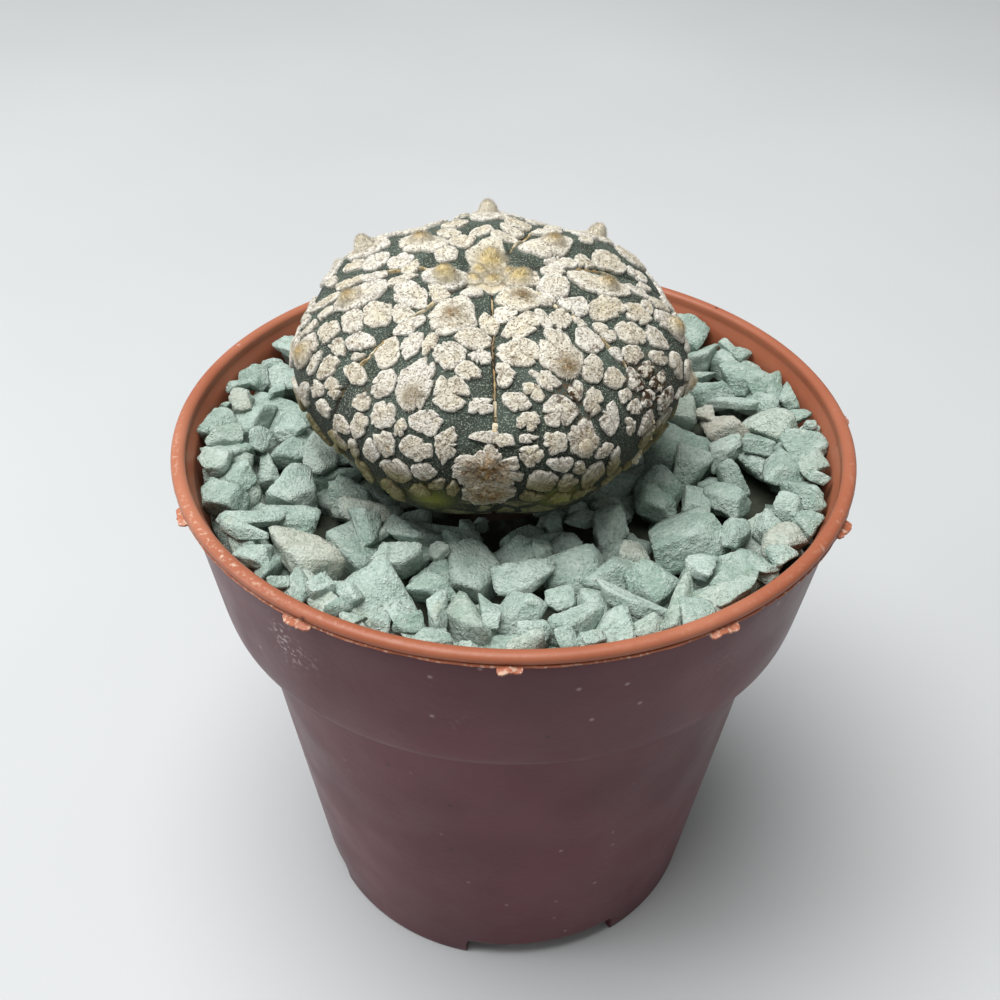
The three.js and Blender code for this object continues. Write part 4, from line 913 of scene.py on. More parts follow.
# Clefts that single flecks show, by the fleck's azimuth and polar angle: direction, depth and half width
clefts = {
    (257, 51.5): [(84, 1.05, 0.24), (200, 0.3, 0.2)], (246, 51.5): [(176, 0.6, 0.3), (20, 0.3, 0.2)],
    (239, 67.5): [(182, 0.45, 0.25), (100, 0.2, 0.25)], (300, 39.8): [(196, 0.75, 0.3), (160, 0.2, 0.2)],
    (303.1, 62): [(60, 0.35, 0.2)], (306, 69): [(186, 0.35, 0.2), (250, 0.3, 0.2)],
    (270.6, 87.5): [(90, 0.75, 0.35), (270, 0.35, 0.3), (135, 0.3, 0.25), (20, 0.5, 0.3), (180, -0.3, 0.4),
                    (140, 0.5, 0.6), (222, 0.5, 0.6), (60, 0.4, 0.2), (320, 0.4, 0.25)],
    (290, 47.5): [(200, 0.4, 0.2), (30, 0.25, 0.18)], (291.3, 61): [(262, 0.55, 0.12)],
    (258.8, 73.5): [(80, 0.35, 0.2), (110, 0.3, 0.2)], (281.8, 62.5): [(60, 0.3, 0.15)],
    (244, 24): [(300, 0.35, 0.3), (95, -0.4, 0.6)], (272, 69.8): [(0, 0.5, 0.3)],
    (283.3, 35.6): [(250, 0.3, 0.2)], (251, 77.5): [(130, 0.3, 0.2)], (281.8, 78): [(20, 0.25, 0.12)],
    (296.3, 75.3): [(150, 0.2, 0.15)],
}


# The clefts of one fleck: those listed, and on larger ones a few by chance
def fleckClefts(fleck, random):
    listed = clefts.get((fleck["azimuth"], fleck["angle"]), [])
    found = [(turn * degree, depth, half) for turn, depth, half in listed]
    if fleck["size"] > 0.6:
        for i in range(1 + int(random() * 2.6)):
            found.append((random() * fullTurn, 0.08 + 0.34 * random() ** 2, 0.07 + 0.13 * random()))
    return found


# How far directions lie from another one, at most half a turn
def apart(direction, other):
    return np.abs((direction - other + math.pi) % (2 * math.pi) - math.pi)


# Fine wrinkles that fan out from a fleck's middle, or run along it on the lowest flecks: 1 where deepest
def wrinkled(flat, direction, share, size, index, fleck):
    east, down = np.cos(direction) * size / 0.34, np.sin(direction) * size / 0.34
    fan = np.stack([east, down, share * size / 0.6 + index * 7.3], 1)
    lengthways = share * size * np.cos(direction - fleck["turn"]) / 1.6
    sideways = share * size * np.sin(direction - fleck["turn"]) / 0.17
    along = np.stack([lengthways, sideways, np.full(len(share), index * 5.1)], 1)
    tangled = layered(flat, (1, 0.36, 62), (0.6, 0.2, 63))
    spread = np.clip((share - 0.3) / 0.6, 0, 1)
    fine = 0.55 * spread * bumpNoise(fan, 1, 61) + (1 - 0.35 * spread) * tangled
    low = np.clip((fleck["angle"] - 88) / 6, 0, 1)
    fine = fine * (1 - low) + low * (bumpNoise(along, 1, 64) + 0.25 * tangled)
    patchy = np.clip(0.55 + 0.9 * bumpNoise(flat, 0.9, 65), 0.1, 1)
    return np.exp(-(fine / 0.13) ** 2) * patchy


# A fleck's ragged edge round its middle, and where cracks run in from its clefts
def fleckEdge(index, fleck, around, outlineRandom, random):
    places = np.arange(around) / around
    direction = places * 2 * math.pi
    young = max(0, 1 - fleck["angle"] / 60)
    gap = felt["gap"] - 0.26 * young + 0.03 * min(1, max(0, fleck["angle"] - 45) / 20)
    size = fleckOutline(fleck, flecks, direction, gap, outlineRandom)
    perimeter = 2 * math.pi * fleck["size"]
    ragged = 1.7 if isCorky(fleck) else 0.8 + 0.5 * random()
    frayed = 0.1 * ringNoise(places, perimeter / 0.75, 1000 + index)
    frayed += 0.06 * ringNoise(places, perimeter / 0.3, 2000 + index)
    size = size + 0.13 * young + ragged * (frayed + 0.035 * ringNoise(places, perimeter / 0.16, 3000 + index))
    cracks = []
    for toward, depth, half in fleckClefts(fleck, random):
        size = size - depth * np.clip(1 - apart(direction, toward) * size / half, 0, 1) ** 0.7
        if depth > 0:
            cracks.append((toward, 0.2 + random() * 0.6))
    return np.maximum(size, 0.22), direction, cracks


# A fleck's grid, from its sunk edge over the rim to its middle
def fleckShape(index, fleck, outlineRandom, random):
    around = int(min(max(2 * math.pi * fleck["size"] / felt["cell"], 30), 132))
    size, direction, cracks = fleckEdge(index, fleck, around, outlineRandom, random)
    insets = np.array([-0.02, -0.06, -0.07, -0.04, 0.04])
    shares = np.linspace(1, 0.08, max(int((size.mean() - 0.13) / felt["cell"]), 3))
    rows = len(insets) + len(shares)
    reachOut = np.concatenate([size[None] - insets[:, None], shares[:, None] * (size[None] - 0.13)]).ravel()
    turned = np.tile(direction, rows)
    azimuth, angle = stepFrom(fleck["azimuth"], fleck["angle"], np.append(reachOut * np.cos(turned), 0),
                              np.append(reachOut * np.sin(turned), 0))
    share = np.append(reachOut / np.tile(size, rows), 0)
    outline = np.append(np.tile(size, rows), size.mean())
    turned = np.append(turned, 0)
    flat = stemPoint(azimuth, angle)[0]
    lines = wrinkled(flat, turned, share, outline, index, fleck)
    for toward, start in cracks:
        track = np.stack([share * 3, np.full(len(share), toward), np.full(len(share), index)], 1)
        wander = 0.35 * bumpNoise(track, 1, 66)
        away = apart(turned - toward, wander * (1 - share)) * share * outline
        lines = np.maximum(lines, 0.9 * np.exp(-(away / 0.06) ** 2) * np.clip((share - start) / 0.2, 0, 1))
    height = felt["height"] + felt["crown"] * (1 - np.minimum(share, 1) ** 2)
    edgeHeights = [-felt["sunk"], 0.02, 0.13, felt["height"] - 0.05, felt["height"]]
    height[:len(insets) * around] = np.repeat(edgeHeights, around)
    rough = layered(flat, (0.055, 0.8, 51), (0.045, 0.33, 52), (0.04, 0.17, 53))
    if isCorky(fleck):
        rough = rough * 1.6 + 0.12 * bumpNoise(flat, 0.7, 54)
    top = np.clip((height - 0.02) / 0.26, 0, 1)
    fleck["edge"] = size
    shaped = height + (rough - 0.075 * lines) * top
    return azimuth, angle, shaped, share, flat, domeFaces(rows, around), lines * top


def addFleck(batch, index, fleck, outlineRandom, random):
    tone = random()
    azimuth, angle, height, share, flat, faces, lines = fleckShape(index, fleck, outlineRandom, random)
    stain = np.zeros(len(flat))
    if fleck["wool"] is not None:
        far = np.sqrt(((flat - stemPoint(fleck["azimuth"], fleck["wool"])[0]) ** 2).sum(1))
        stain = np.exp(-(far / (0.6 if fleck["wool"] < 40 else 0.85)) ** 2)
        stain = stain * (0.55 if fleck["kind"] in ("cushion", "bump") else 1)
    dirt = spotted(flat, dirtSpots)
    if isCorky(fleck):
        stain = 1.1 * np.clip(1.25 - 1.2 * share, 0, 1)
        dirt = 0.8 * np.clip(1.1 - 1.4 * share, 0, 1)
    old = np.clip((angle - 20) / 62, 0, 1)
    olive = np.clip((angle - 91 + 3 * bumpNoise(flat, 1.5, 67)) / 7, 0, 0.4 if isCorky(fleck) else 1)
    rim = np.clip((share - 0.7) / 0.3, 0, 1)
    # The wrinkles and cracks also carry the painted shade in the felt's colour
    addTo(batch, stood(stemPoint(azimuth, angle, height)[0]), faces, tone=tone, age=old, rim=rim, stain=stain,
          olive=olive, cavity=lines, dirt=dirt, yellow=spotted(flat, yellowSpots))


def makeFelt():
    material = makeFeltMaterial()
    keys = ("tone", "age", "rim", "stain", "olive", "cavity", "dirt", "yellow")
    batches = [newBatch(keys) for i in range(3)]
    outlineRandom = makeRandom(fleckSeed + 1)
    random = makeRandom(5119)
    for index, fleck in enumerate(flecks):
        third = int((fleck["azimuth"] - stem["frontFurrow"] + 60) % 360 / 120)
        addFleck(batches[third], index, fleck, outlineRandom, random)
    for name, batch in zip(("feltFront", "feltRight", "feltLeft"), batches):
        piece = batchPiece(name, batch, material)
        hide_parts("cactus")
        print(name, "quads and triangles:", len(batch["faces"]))


makeFelt()


# Wool

# Thin three-sided tubes along paths of points, tapering to the tip
def strands(paths, thick):
    count, steps = paths.shape[:2]
    along = unit(np.gradient(paths, axis=1), 1e-9)
    side = unit(np.cross(along, np.array([0.3, 0.5, 0.81])), 1e-9)
    other = np.cross(along, side)
    taper = np.linspace(1, 0.3, steps)[None, :, None]
    rings = []
    for i in range(3):
        turn = i / 3 * 2 * math.pi
        rings.append(paths + (side * math.cos(turn) + other * math.sin(turn)) * taper * thick[:, None, None])
    points = np.stack(rings, 2).reshape(-1, 3)
    one = ringFaces(steps, 3)
    faces = (one[None] + (np.arange(count) * steps * 3)[:, None, None]).reshape(-1, 4)
    return points, faces


def makeWoolMaterial():
    paint = Paint("areoleWool")
    tone, core = paint.readAll("tone", "core")
    straw = paint.blend(tone, (202, 184, 132), (166, 134, 86))
    paint.colour = paint.blend(core, (220, 214, 198), straw)
    paint.coat(paint.patches(1500.0, 4.0, 0.4, 0.64), (228, 219, 194), 0.2)
    fibre, fibrePits = paint.crumbs(5600.0, 0.3)
    paint.coat(fibrePits, (104, 76, 44), paint.times(tone, 0.5))
    return paint.finished(0.95, fibre, 0.00026, shine=0.1, sheen=0.25)


# Kinds of tuft: radius, height, how square the dome is, brownness, how far the straw colour reaches, number
# of hairs, their length, how far they lean out, and the height it starts from where that isn't the felt's
tuftKeys = ("radius", "tall", "square", "tone", "core", "hairs", "length", "lean", "base")
tuftRows = {
    "crown": (0.95, 0.72, 0.95, 0.08, 1.5, 900, 0.26, 0.7),
    "knob": (0.74, 0.92, 0.75, 0.35, 0.3, 900, 0.24, 0.8),
    "side": (0.8, 0.5, 0.9, 0.45, 1.1, 600, 0.3, 1.0),
    "flat": (0.72, 0.1, 0.8, 0.75, 1.2, 500, 0.34, 2.0),
    "bump": (0.52, 0.3, 0.8, 0.55, 0.5, 500, 0.22, 1.0),
    "cushion": (0.72, 0.1, 0.8, 0.5, 0.7, 450, 0.32, 2.0),
    "young": (0.8, 0.42, 0.8, 0.12, 1.2, 500, 0.3, 1.2),
    "mat": (1.6, 0.2, 0.9, 0.35, 0.9, 1500, 0.36, 1.6, 0.02),
}
tufts = {name: dict(zip(tuftKeys, row)) for name, row in tuftRows.items()}
widestTuft = {"pad": (92, 9), "grow": 1.25}  # the pad whose wool is wider than its kind, and how much


# Young wool in the middle of the crown: azimuth, polar angle, size and kind
crownTufts = [(285, 2.5, 1, "young"), (215, 5.5, 0.75, "young"), (10, 5, 0.7, "young"),
              (150, 3.5, 0.8, "young"), (271, 3, 1, "mat")]


# How far a tuft stands out, at shares of its radius
def tuftRise(kind, share):
    return kind.get("base", felt["height"]) + kind["tall"] * np.clip(1 - share ** 2, 0, 1) ** kind["square"]


def addMound(batch, fleck, kind, grow):
    around, rows = 44, 14
    places = np.arange(around) / around
    direction = places * 2 * math.pi
    seed = int(fleck["azimuth"] * 7)
    lobes = 1 + 0.1 * ringNoise(places, 5, seed) + 0.05 * ringNoise(places, 14, seed + 3)
    size = kind["radius"] * grow * lobes
    shares = np.linspace(1.12, 0.07, rows)
    down = np.append((shares[:, None] * size * np.cos(direction)).ravel(), 0)
    sideways = np.append((shares[:, None] * size * np.sin(direction)).ravel(), 0)
    share = np.append(np.repeat(shares, around), 0)
    azimuth, angle = stepFrom(fleck["azimuth"], max(fleck["wool"], 2), down, sideways)
    rise = tuftRise(kind, share) - 0.35 * (share > 1.05)
    raised, normal = stemPoint(azimuth, angle, rise)
    fluff = layered(raised, (0.07, 0.55, seed), (0.035, 0.25, seed + 1))
    points = stood(raised + normal * fluff[:, None])
    core = np.clip(kind["core"] * (1.25 - 1.2 * share), 0, 1)
    addTo(batch, points, domeFaces(rows, around), tone=kind["tone"], core=core)


# Short hairs over a tuft, straw-coloured in its middle and whiter at its edge
def addHairs(batch, fleck, kind, grow, random):
    steps, count = 2, kind["hairs"]
    radius = kind["radius"] * grow
    draws = np.array([[random() for i in range(6)] for j in range(count)])
    turn = draws[:, 0] * 2 * math.pi
    share = np.sqrt(draws[:, 1]) * 1.12
    out = share * radius
    azimuth, angle = stepFrom(fleck["azimuth"], max(fleck["wool"], 2), out * np.cos(turn), out * np.sin(turn))
    root, normal = stemPoint(azimuth, angle, tuftRise(kind, share) - 0.08)
    outward = unit(root - stemPoint(fleck["azimuth"], fleck["wool"], 0.1)[0])
    swirl = np.cross(normal, outward) * (draws[:, 2:3] - 0.5) * 2.4
    heading = unit(normal * 0.6 + outward * kind["lean"] * share[:, None] * 0.8 + swirl * 0.6 * kind["lean"])
    length = kind["length"] * grow * (0.55 + 0.9 * draws[:, 3])
    bend = np.cross(heading, normal) * (draws[:, 4:5] - 0.5) * 1.2 - normal * 0.35 * draws[:, 5:6]
    t = np.linspace(0, 1, steps)[None, :, None]
    paths = root[:, None] + heading[:, None] * t * length[:, None, None]
    paths = paths + bend[:, None] * (t ** 2) * length[:, None, None] * 0.8
    points, faces = strands(stood(paths), 0.016 * (0.7 + 0.7 * draws[:, 5]))
    tone = np.clip(kind["tone"] + 1.1 * (draws[:, 2] - 0.5) * (0.3 + kind["tone"]), 0, 1)
    core = np.clip(kind["core"] * (1.2 - 1.15 * share), 0, 1)
    fade = np.tile(np.repeat(np.linspace(1, 0.7, steps), 3), count)
    addTo(batch, points, faces, tone=np.repeat(tone, steps * 3), core=np.repeat(core, steps * 3) * fade)


# Whitish fuzz along the rim of a pad
def addFringe(batch, fleck, random):
    steps, count = 2, 150
    draws = np.array([[random() for i in range(5)] for j in range(count)])
    places = draws[:, 0] * len(fleck["edge"])
    out = np.interp(places, np.arange(len(fleck["edge"])), fleck["edge"]) - 0.1 * draws[:, 4]
    turn = draws[:, 0] * 2 * math.pi
    azimuth, angle = stepFrom(fleck["azimuth"], fleck["angle"], out * np.cos(turn), out * np.sin(turn))
    root, normal = stemPoint(azimuth, angle, felt["height"] * (0.3 + 0.7 * draws[:, 1]) - 0.03)
    outward = unit(root - stemPoint(fleck["azimuth"], fleck["angle"], 0.1)[0])
    swirl = np.cross(normal, outward) * (draws[:, 3:4] - 0.5) * 1.4
    heading = outward + normal * (draws[:, 2:3] * 0.7 - 0.1) + swirl
    length = 0.12 + 0.16 * draws[:, 4]
    t = np.linspace(0, 1, steps)[None, :, None]
    paths = root[:, None] + heading[:, None] * t * length[:, None, None] - normal[:, None] * 0.06 * t ** 2
    points, faces = strands(stood(paths), np.full(count, 0.014))
    addTo(batch, points, faces, tone=0.1, core=0.0)


# Dry papery strips in the furrows: azimuth, first and last polar angle, half width, height and brownness
seams = [
    (272.2, 12, 36, 0.07, 0.05, 0.9), (272.2, 37, 52, 0.07, 0.05, 1), (272.2, 52.5, 59, 0.2, 0.15, 0.15),
    (272.2, 61.5, 68.5, 0.17, 0.15, 0.3), (323.6, 14, 34, 0.14, 0.16, 0.2), (323.6, 38, 56, 0.1, 0.12, 0.5),
    (323.6, 90, 121, 0.26, 0.42, 0), (220.8, 15, 36, 0.14, 0.16, 0.2), (220.8, 40, 60, 0.12, 0.14, 0.4),
    (15, 16, 40, 0.1, 0.12, 0.5), (169.3, 16, 40, 0.1, 0.12, 0.5), (66.5, 14, 40, 0.1, 0.12, 0.5),
    (117.9, 14, 40, 0.1, 0.12, 0.5),
]


def addSeam(batch, azimuth, first, last, half, tall, tone):
    rows, columns = int((last - first) * 0.23 / 0.07), 9
    places = np.linspace(-1, 1, columns)
    angle = np.repeat(np.linspace(first, last, rows), columns)
    flat = stemPoint(azimuth, angle)[0]
    wander = layered(flat, (0.1, 0.9, 91), (0.05, 0.3, 92))
    width = half * (1 + 0.8 * bumpNoise(flat, 0.5, 93) + 0.6 * bumpNoise(flat, 0.2, 97))
    across = np.tile(places, rows)
    out = (across * width + wander) / (meridian(angle)[0] * degree)
    ends = np.clip(np.minimum(angle - first, last - angle) / 1.5, 0, 1)
    patchy = np.clip(0.5 + 1.5 * bumpNoise(flat, 0.9, 94) + 0.8 * bumpNoise(flat, 0.3, 98), -0.6, 1.2) * ends
    raised = tall * patchy * (1 - across ** 2) - 0.25 * np.abs(across) ** 3 - 0.1 * (1 - ends)
    points = stemPoint(azimuth + out, angle, raised)[0]
    points = points + (0.03 * bumpNoise(points, 0.12, 95))[:, None]
    here = np.arange(rows - 1)[:, None] * columns + np.arange(columns - 1)[None, :]
    faces = np.stack([here, here + columns, here + columns + 1, here + 1], 2).reshape(-1, 4)
    speckle = np.clip(tone + 0.8 * bumpNoise(flat, 0.4, 96), 0, 1)
    addTo(batch, stood(points), faces, tone=speckle, core=np.clip(0.35 + speckle, 0, 1))


def makeWool():
    batch = newBatch(("tone", "core"))
    random = makeRandom(811)
    for fleck in flecks:
        if fleck["wool"] is not None:
            kind = tufts[fleck["kind"]]
            grow = widestTuft["grow"] if (fleck["azimuth"], fleck["angle"]) == widestTuft["pad"] else 1
            if kind["tall"] > 0.2:
                addMound(batch, fleck, kind, grow)
            addHairs(batch, fleck, kind, grow, random)
            addFringe(batch, fleck, random)
    for azimuth, angle, grow, kind in crownTufts:
        spot = {"azimuth": azimuth, "wool": angle}
        addMound(batch, spot, tufts[kind], grow)
        addHairs(batch, spot, tufts[kind], grow, random)
    for seam in seams:
        addSeam(batch, *seam)
    piece = batchPiece("areoleWool", batch, makeWoolMaterial())
    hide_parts("cactus")
    print("areoleWool faces:", len(batch["faces"]))


makeWool()


# The chips of the top dressing

chips = {
    "seed": 7331, "cell": 0.4, "half": 68, "tries": 16, "clearance": 0.35, "fleckHeight": 0.34, "sink": 0.5,
    "heapFloor": 41.4, "heapLevel": 45.1, "heapPeak": 47.9, "wallLift": 2.0,
    "dipAzimuth": 58, "dipDepth": 0.7, "dipSpread": 38, "outward": 0.5,
    "rounds": [[260, 1.45], [330, 1.2], [380, 0.95], [200, 0.68]],
}
gridWidth = 2 * chips["half"] + 1
chipSides = [[1, 0, 0], [-1, 0, 0], [0, 1, 0], [0, -1, 0], [0, 0, 1], [0, 0, -1]]
chipEdges = [[0.6, 0.6, 0.5], [-0.6, 0.6, 0.5], [0.6, -0.6, 0.5], [-0.6, -0.6, 0.5]]
chipCuts = [[0.8, 0.6, -0.1], [-0.8, 0.6, 0.1], [0.6, -0.8, 0], [-0.6, -0.8, 0.1]]


def tilted(x, y, z, turn, tiltX, tiltY):
    y1 = y * math.cos(tiltX) - z * math.sin(tiltX)
    z1 = y * math.sin(tiltX) + z * math.cos(tiltX)
    x2 = x * math.cos(tiltY) + z1 * math.sin(tiltY)
    z2 = z1 * math.cos(tiltY) - x * math.sin(tiltY)
    return [x2 * math.cos(turn) - y1 * math.sin(turn), x2 * math.sin(turn) + y1 * math.cos(turn), z2]


# The flat sides of one chip as normals with distances, turned to the way it lies
def chipPlanes(random, scale):
    length = scale * (1.5 + random() * random() * 2.1)
    width = length * (0.6 + random() * 0.35)
    height = length * (0.38 + random() * 0.28)
    sliver = random() < 0.08
    half = [length * 1.45, width * 0.55, height * 0.5] if sliver else [length, width, height]
    turn = random() * fullTurn
    steep = 1.1 if random() < 0.16 else 0.45
    tiltX = (random() - 0.5) * 2 * steep
    tiltY = (random() - 0.5) * 2 * steep
    normals, distances = [], []
    first = math.floor(random() * 4)
    second = math.floor(random() * 4)
    for index, side in enumerate(chipSides + [chipEdges[first], chipCuts[second]]):
        x = (side[0] + (random() - 0.5) * 0.62) / half[0]
        y = (side[1] + (random() - 0.5) * 0.62) / half[1]
        z = (side[2] + (random() - 0.5) * 0.62) / half[2]
        away = 0.72 + random() * 0.22 if index < 6 else 0.56 + random() * 0.24
        size = math.sqrt(x * x + y * y + z * z)
        sideLength = math.sqrt(side[0] * side[0] + side[1] * side[1] + side[2] * side[2])
        normals.append(tilted(x / size, y / size, z / size, turn, tiltX, tiltY))
        distances.append(away * sideLength / size)
    axes = np.array([tilted(*axis, turn, tiltX, tiltY) for axis in ([1, 0, 0], [0, 1, 0], [0, 0, 1])])
    return {"normals": np.array(normals), "away": np.array(distances), "half": np.array(half), "axes": axes}


def chipCorners(chip):
    corners = []
    normals, away = chip["normals"], chip["away"]
    sides = len(away)
    for i in range(sides):
        for j in range(i + 1, sides):
            for k in range(j + 1, sides):
                bc = np.cross(normals[j], normals[k])
                whole = normals[i] @ bc
                if abs(whole) < 0.02:
                    continue
                ca, ab = np.cross(normals[k], normals[i]), np.cross(normals[i], normals[j])
                point = (away[i] * bc + away[j] * ca + away[k] * ab) / whole
                if (normals @ point < away + 1e-6).all():
                    corners.append(point)
    return np.array(corners)


# The cells that a chip covers, each with its lowest and highest height there
def footprint(chip):
    cell = chips["cell"]
    wide, deep = [math.ceil(np.abs(chip["corners"][:, n]).max() / cell) for n in (0, 1)]
    grids = np.meshgrid(np.arange(-wide, wide + 1), np.arange(-deep, deep + 1), indexing="ij")
    i, j = [grid.ravel() for grid in grids]
    low, high = np.full(len(i), -endless), np.full(len(i), endless)
    for normal, away in zip(chip["normals"], chip["away"]):
        rest = (away - normal[0] * i * cell - normal[1] * j * cell) / normal[2]
        if normal[2] > 0:
            high = np.minimum(high, rest)
        else:
            low = np.maximum(low, rest)
    kept = low < high
    return i[kept], j[kept], low[kept], high[kept]


# How low the stem's underside hangs over each cell
def undersideGrid():
    steps = np.arange(-chips["half"], chips["half"] + 1) * chips["cell"]
    y, x = np.meshgrid(steps, steps, indexing="ij")
    dx, dy = x - stem["x"], y
    distance = np.hypot(dx, dy)
    share = np.minimum(distance / (stem["radius"] + 0.2), 1)
    curve = np.sqrt(1 - share ** (2 / stem["fullness"]))
    hang = stem["z"] - stem["belly"] * curve + dy * math.sin(stem["lean"])
    hang = hang - chips["clearance"] - chips["fleckHeight"] - 0.25
    hang = np.where(distance < stem["neck"] + 1.4, -endless, hang)
    return np.where(distance >= stem["radius"] + 0.2, endless, hang).ravel()


# Whether a chip stays clear of the wall and under the top of the heap
def fits(corners, x, y, z):
    height = z + corners[:, 2]
    radius = np.hypot(x + corners[:, 0], y + corners[:, 1])
    room = innerRadius(np.minimum(height, pot["height"] - pot["lipHeight"])) - chips["clearance"] - 0.1
    level = heapLevel(x, y)
    return (radius <= room).all() and z < level and height.max() < min(level + 1.6, chips["heapPeak"])


# The height that the middles of the top chips reach, a little more at the wall
def heapLevel(x, y):
    outward = math.hypot(x, y) / 23
    away = (math.atan2(y, x) / degree - chips["dipAzimuth"] + 540) % 360 - 180
    dip = chips["dipDepth"] * outward ** 2 * math.exp(-(away / chips["dipSpread"]) ** 2)
    return chips["heapLevel"] + chips["wallLift"] * outward ** 4 - dip


# Drops chips one by one, each at the try where it comes to rest lowest against the heap's level there
def dropChips(random, heap, owner, ceiling):
    cell, half = chips["cell"], chips["half"]
    found = []
    for count, scale in chips["rounds"]:
        for i in range(count):
            chip = chipPlanes(random, scale)
            chip["corners"] = chipCorners(chip)
            right, back, low, high = footprint(chip)
            ground = chips["heapFloor"] - chip["corners"][:, 2].min()
            best = None
            for j in range(chips["tries"]):
                azimuth = random() * fullTurn
                hugging = j % 2 == 1
                radius = 25 if hugging else 24 * math.sqrt(random())
                for step in range(12 if hugging else 1):
                    column = math.floor(radius * math.cos(azimuth) / cell + 0.5)
                    row = math.floor(radius * math.sin(azimuth) / cell + 0.5)
                    radius -= cell
                    if np.abs(right + column).max() > half or np.abs(back + row).max() > half:
                        continue
                    place = (back + row + half) * gridWidth + right + column + half
                    rest = max((heap[place] - low).max() - chips["sink"] * scale, ground)
                    x, y = column * cell, row * cell
                    if rest < (ceiling[place] - high).min() and fits(chip["corners"], x, y, rest):
                        depth = rest - heapLevel(x, y)
                        if best is None or depth < best[0]:
                            best = (depth, x, y, rest, place)
                        break
            if best:
                depth, x, y, rest, place = best
                chip["at"] = np.array([x, y, rest])
                higher = rest + high > heap[place]
                heap[place[higher]] = (rest + high)[higher]
                owner[place[higher]] = len(found)
                found.append(chip)
        print("chips so far:", len(found), "of", count, "more tried at size", scale)
    return found


def layChips():
    heap = np.full(gridWidth ** 2, chips["heapFloor"], float)
    owner = np.full(gridWidth ** 2, -1)
    found = dropChips(makeRandom(chips["seed"]), heap, owner, undersideGrid())
    print("chips of the solid:", len(found))
    shown = np.bincount(owner[owner >= 0], minlength=len(found)) * chips["cell"] ** 2
    for chip, area in zip(found, shown):
        chip["shown"] = area
    return found


# Directions over a cube's faces, joined along its edges, with the quads between them
def cubeDirections(count):
    ticks = np.tan(np.linspace(-1, 1, count + 1) * math.pi / 4)
    places, faces = {}, []
    points = []
    for axis in range(3):
        for side in (-1, 1):
            numbers = np.zeros((count + 1, count + 1), int)
            for i, a in enumerate(ticks):
                for j, b in enumerate(ticks):
                    point = [0.0, 0.0, 0.0]
                    point[axis], point[(axis + 1) % 3], point[(axis + 2) % 3] = side, a, b
                    key = tuple(round(value, 5) for value in point)
                    if key not in places:
                        places[key] = len(points)
                        points.append(point)
                    numbers[i, j] = places[key]
            for i in range(count):
                for j in range(count):
                    face = [numbers[i, j], numbers[i + 1, j], numbers[i + 1, j + 1], numbers[i, j + 1]]
                    faces.append(face if side > 0 else face[::-1])
    points = np.array(points)
    return unit(points), np.array(faces)


def makeChipMaterial():
    paint = Paint("mineralChips")
    tone, warm, pink, dusty = paint.readAll("tone", "warm", "pink", "dusty")
    paint.colour = paint.blend(tone, (136, 160, 149), (176, 195, 187))
    paint.coat(warm, (184, 190, 176))
    paint.coat(pink, (204, 190, 176))
    paint.coat(paint.patches(420.0, 5.0, 0.38, 0.66), (200, 213, 207), 0.4)
    paint.coat(paint.patches(260.0, 5.0, 0.63, 0.76), (160, 150, 110), 0.3)
    crumbs, crumbPits = paint.crumbs(3600.0, 0.3)
    paint.coat(crumbPits, (100, 122, 104), 0.5)
    paint.coat(paint.stretch(crumbs, 0.52, 0.64), (222, 232, 224), 0.4)
    dots = paint.dots(4600.0, 0.5, 0.4)
    paint.coat(dots, (218, 229, 218), 0.6)
    # Painted shade: chip surfaces are darkened where they lie low in the heap, in its shaded gaps
    paint.coat(dusty, (104, 112, 94))
    return paint.finished(0.93, paint.plus(crumbs, paint.times(dots, 0.2)), 0.00055, shine=0.2)


# One chip: its flat sides with rounded edges, a few more knocked corners, and a worn crumbly surface
def chipShape(chip, index, random, directions):
    spread = unit(directions * chip["half"]) @ chip["axes"]
    normals, away = [*chip["normals"]], [*chip["away"]]
    for i in range(7):
        height, turn = random() * 2 - 1, random() * fullTurn
        flat = math.sqrt(1 - height * height)
        normal = np.array([flat * math.cos(turn), flat * math.sin(turn), height])
        normals.append(normal)
        away.append((chip["corners"] @ normal).max() * (0.8 + 0.16 * random()))
    facing = np.maximum(spread @ np.array(normals).T, 0) / np.array(away)
    reachOut = 1.02 / ((facing ** 60).sum(1) ** (1 / 60))
    points = spread * reachOut[:, None]
    inside = points + index * 13.7
    rough = layered(inside, (0.09, 1.3, 61), (0.07, 0.5, 62), (0.06, 0.25, 63))
    size = min(1, chip["half"].min() / 0.9)
    across = np.hypot(*chip["at"][:2])
    out = chips["outward"] * np.clip((across - 20) / 3, 0, 1) / max(across, 1)
    moved = chip["at"] + np.array([chip["at"][0] * out, chip["at"][1] * out, 0])
    return points + spread * (rough * size)[:, None] + moved


pinkSpot = (17.7, 5.7)  # chips near it are pinkish, and a few others by chance


def makeGravel():
    found = layChips()
    material = makeChipMaterial()
    grids = {count: cubeDirections(count) for count in (6, 8, 11)}
    keys = ("tone", "warm", "dusty", "pink")
    batches = [newBatch(keys) for i in range(4)]
    random = makeRandom(9173)
    for index, chip in enumerate(found):
        if chip["shown"] < 0.3:
            continue
        count = 11 if chip["shown"] > 5 else 8 if chip["shown"] > 2 else 6
        directions, faces = grids[count]
        points = chipShape(chip, index, random, directions)
        tone = random()
        warm = max(0, random() - 0.76) * 2
        pink = 0.7 if math.dist(chip["at"][:2], pinkSpot) < 1.6 else 0.35 * (random() > 0.98)
        # Painted shade: parts of a chip below 43.4 mm, deep among the others, are darkened
        dusty = np.clip((43.4 - points[:, 2]) / 2.4, 0, 0.7)
        quarter = int(math.atan2(chip["at"][1], chip["at"][0]) / (math.pi / 2) + 2) % 4
        addTo(batches[quarter], points, faces, tone=tone, warm=warm, dusty=dusty, pink=pink)
    names = ("gravelFrontLeft", "gravelFrontRight", "gravelBackRight", "gravelBackLeft")
    for name, batch in zip(names, batches):
        piece = batchPiece(name, batch, material)
        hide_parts("gravel")
        print(name, "quads:", len(batch["faces"]))
    makeBed()


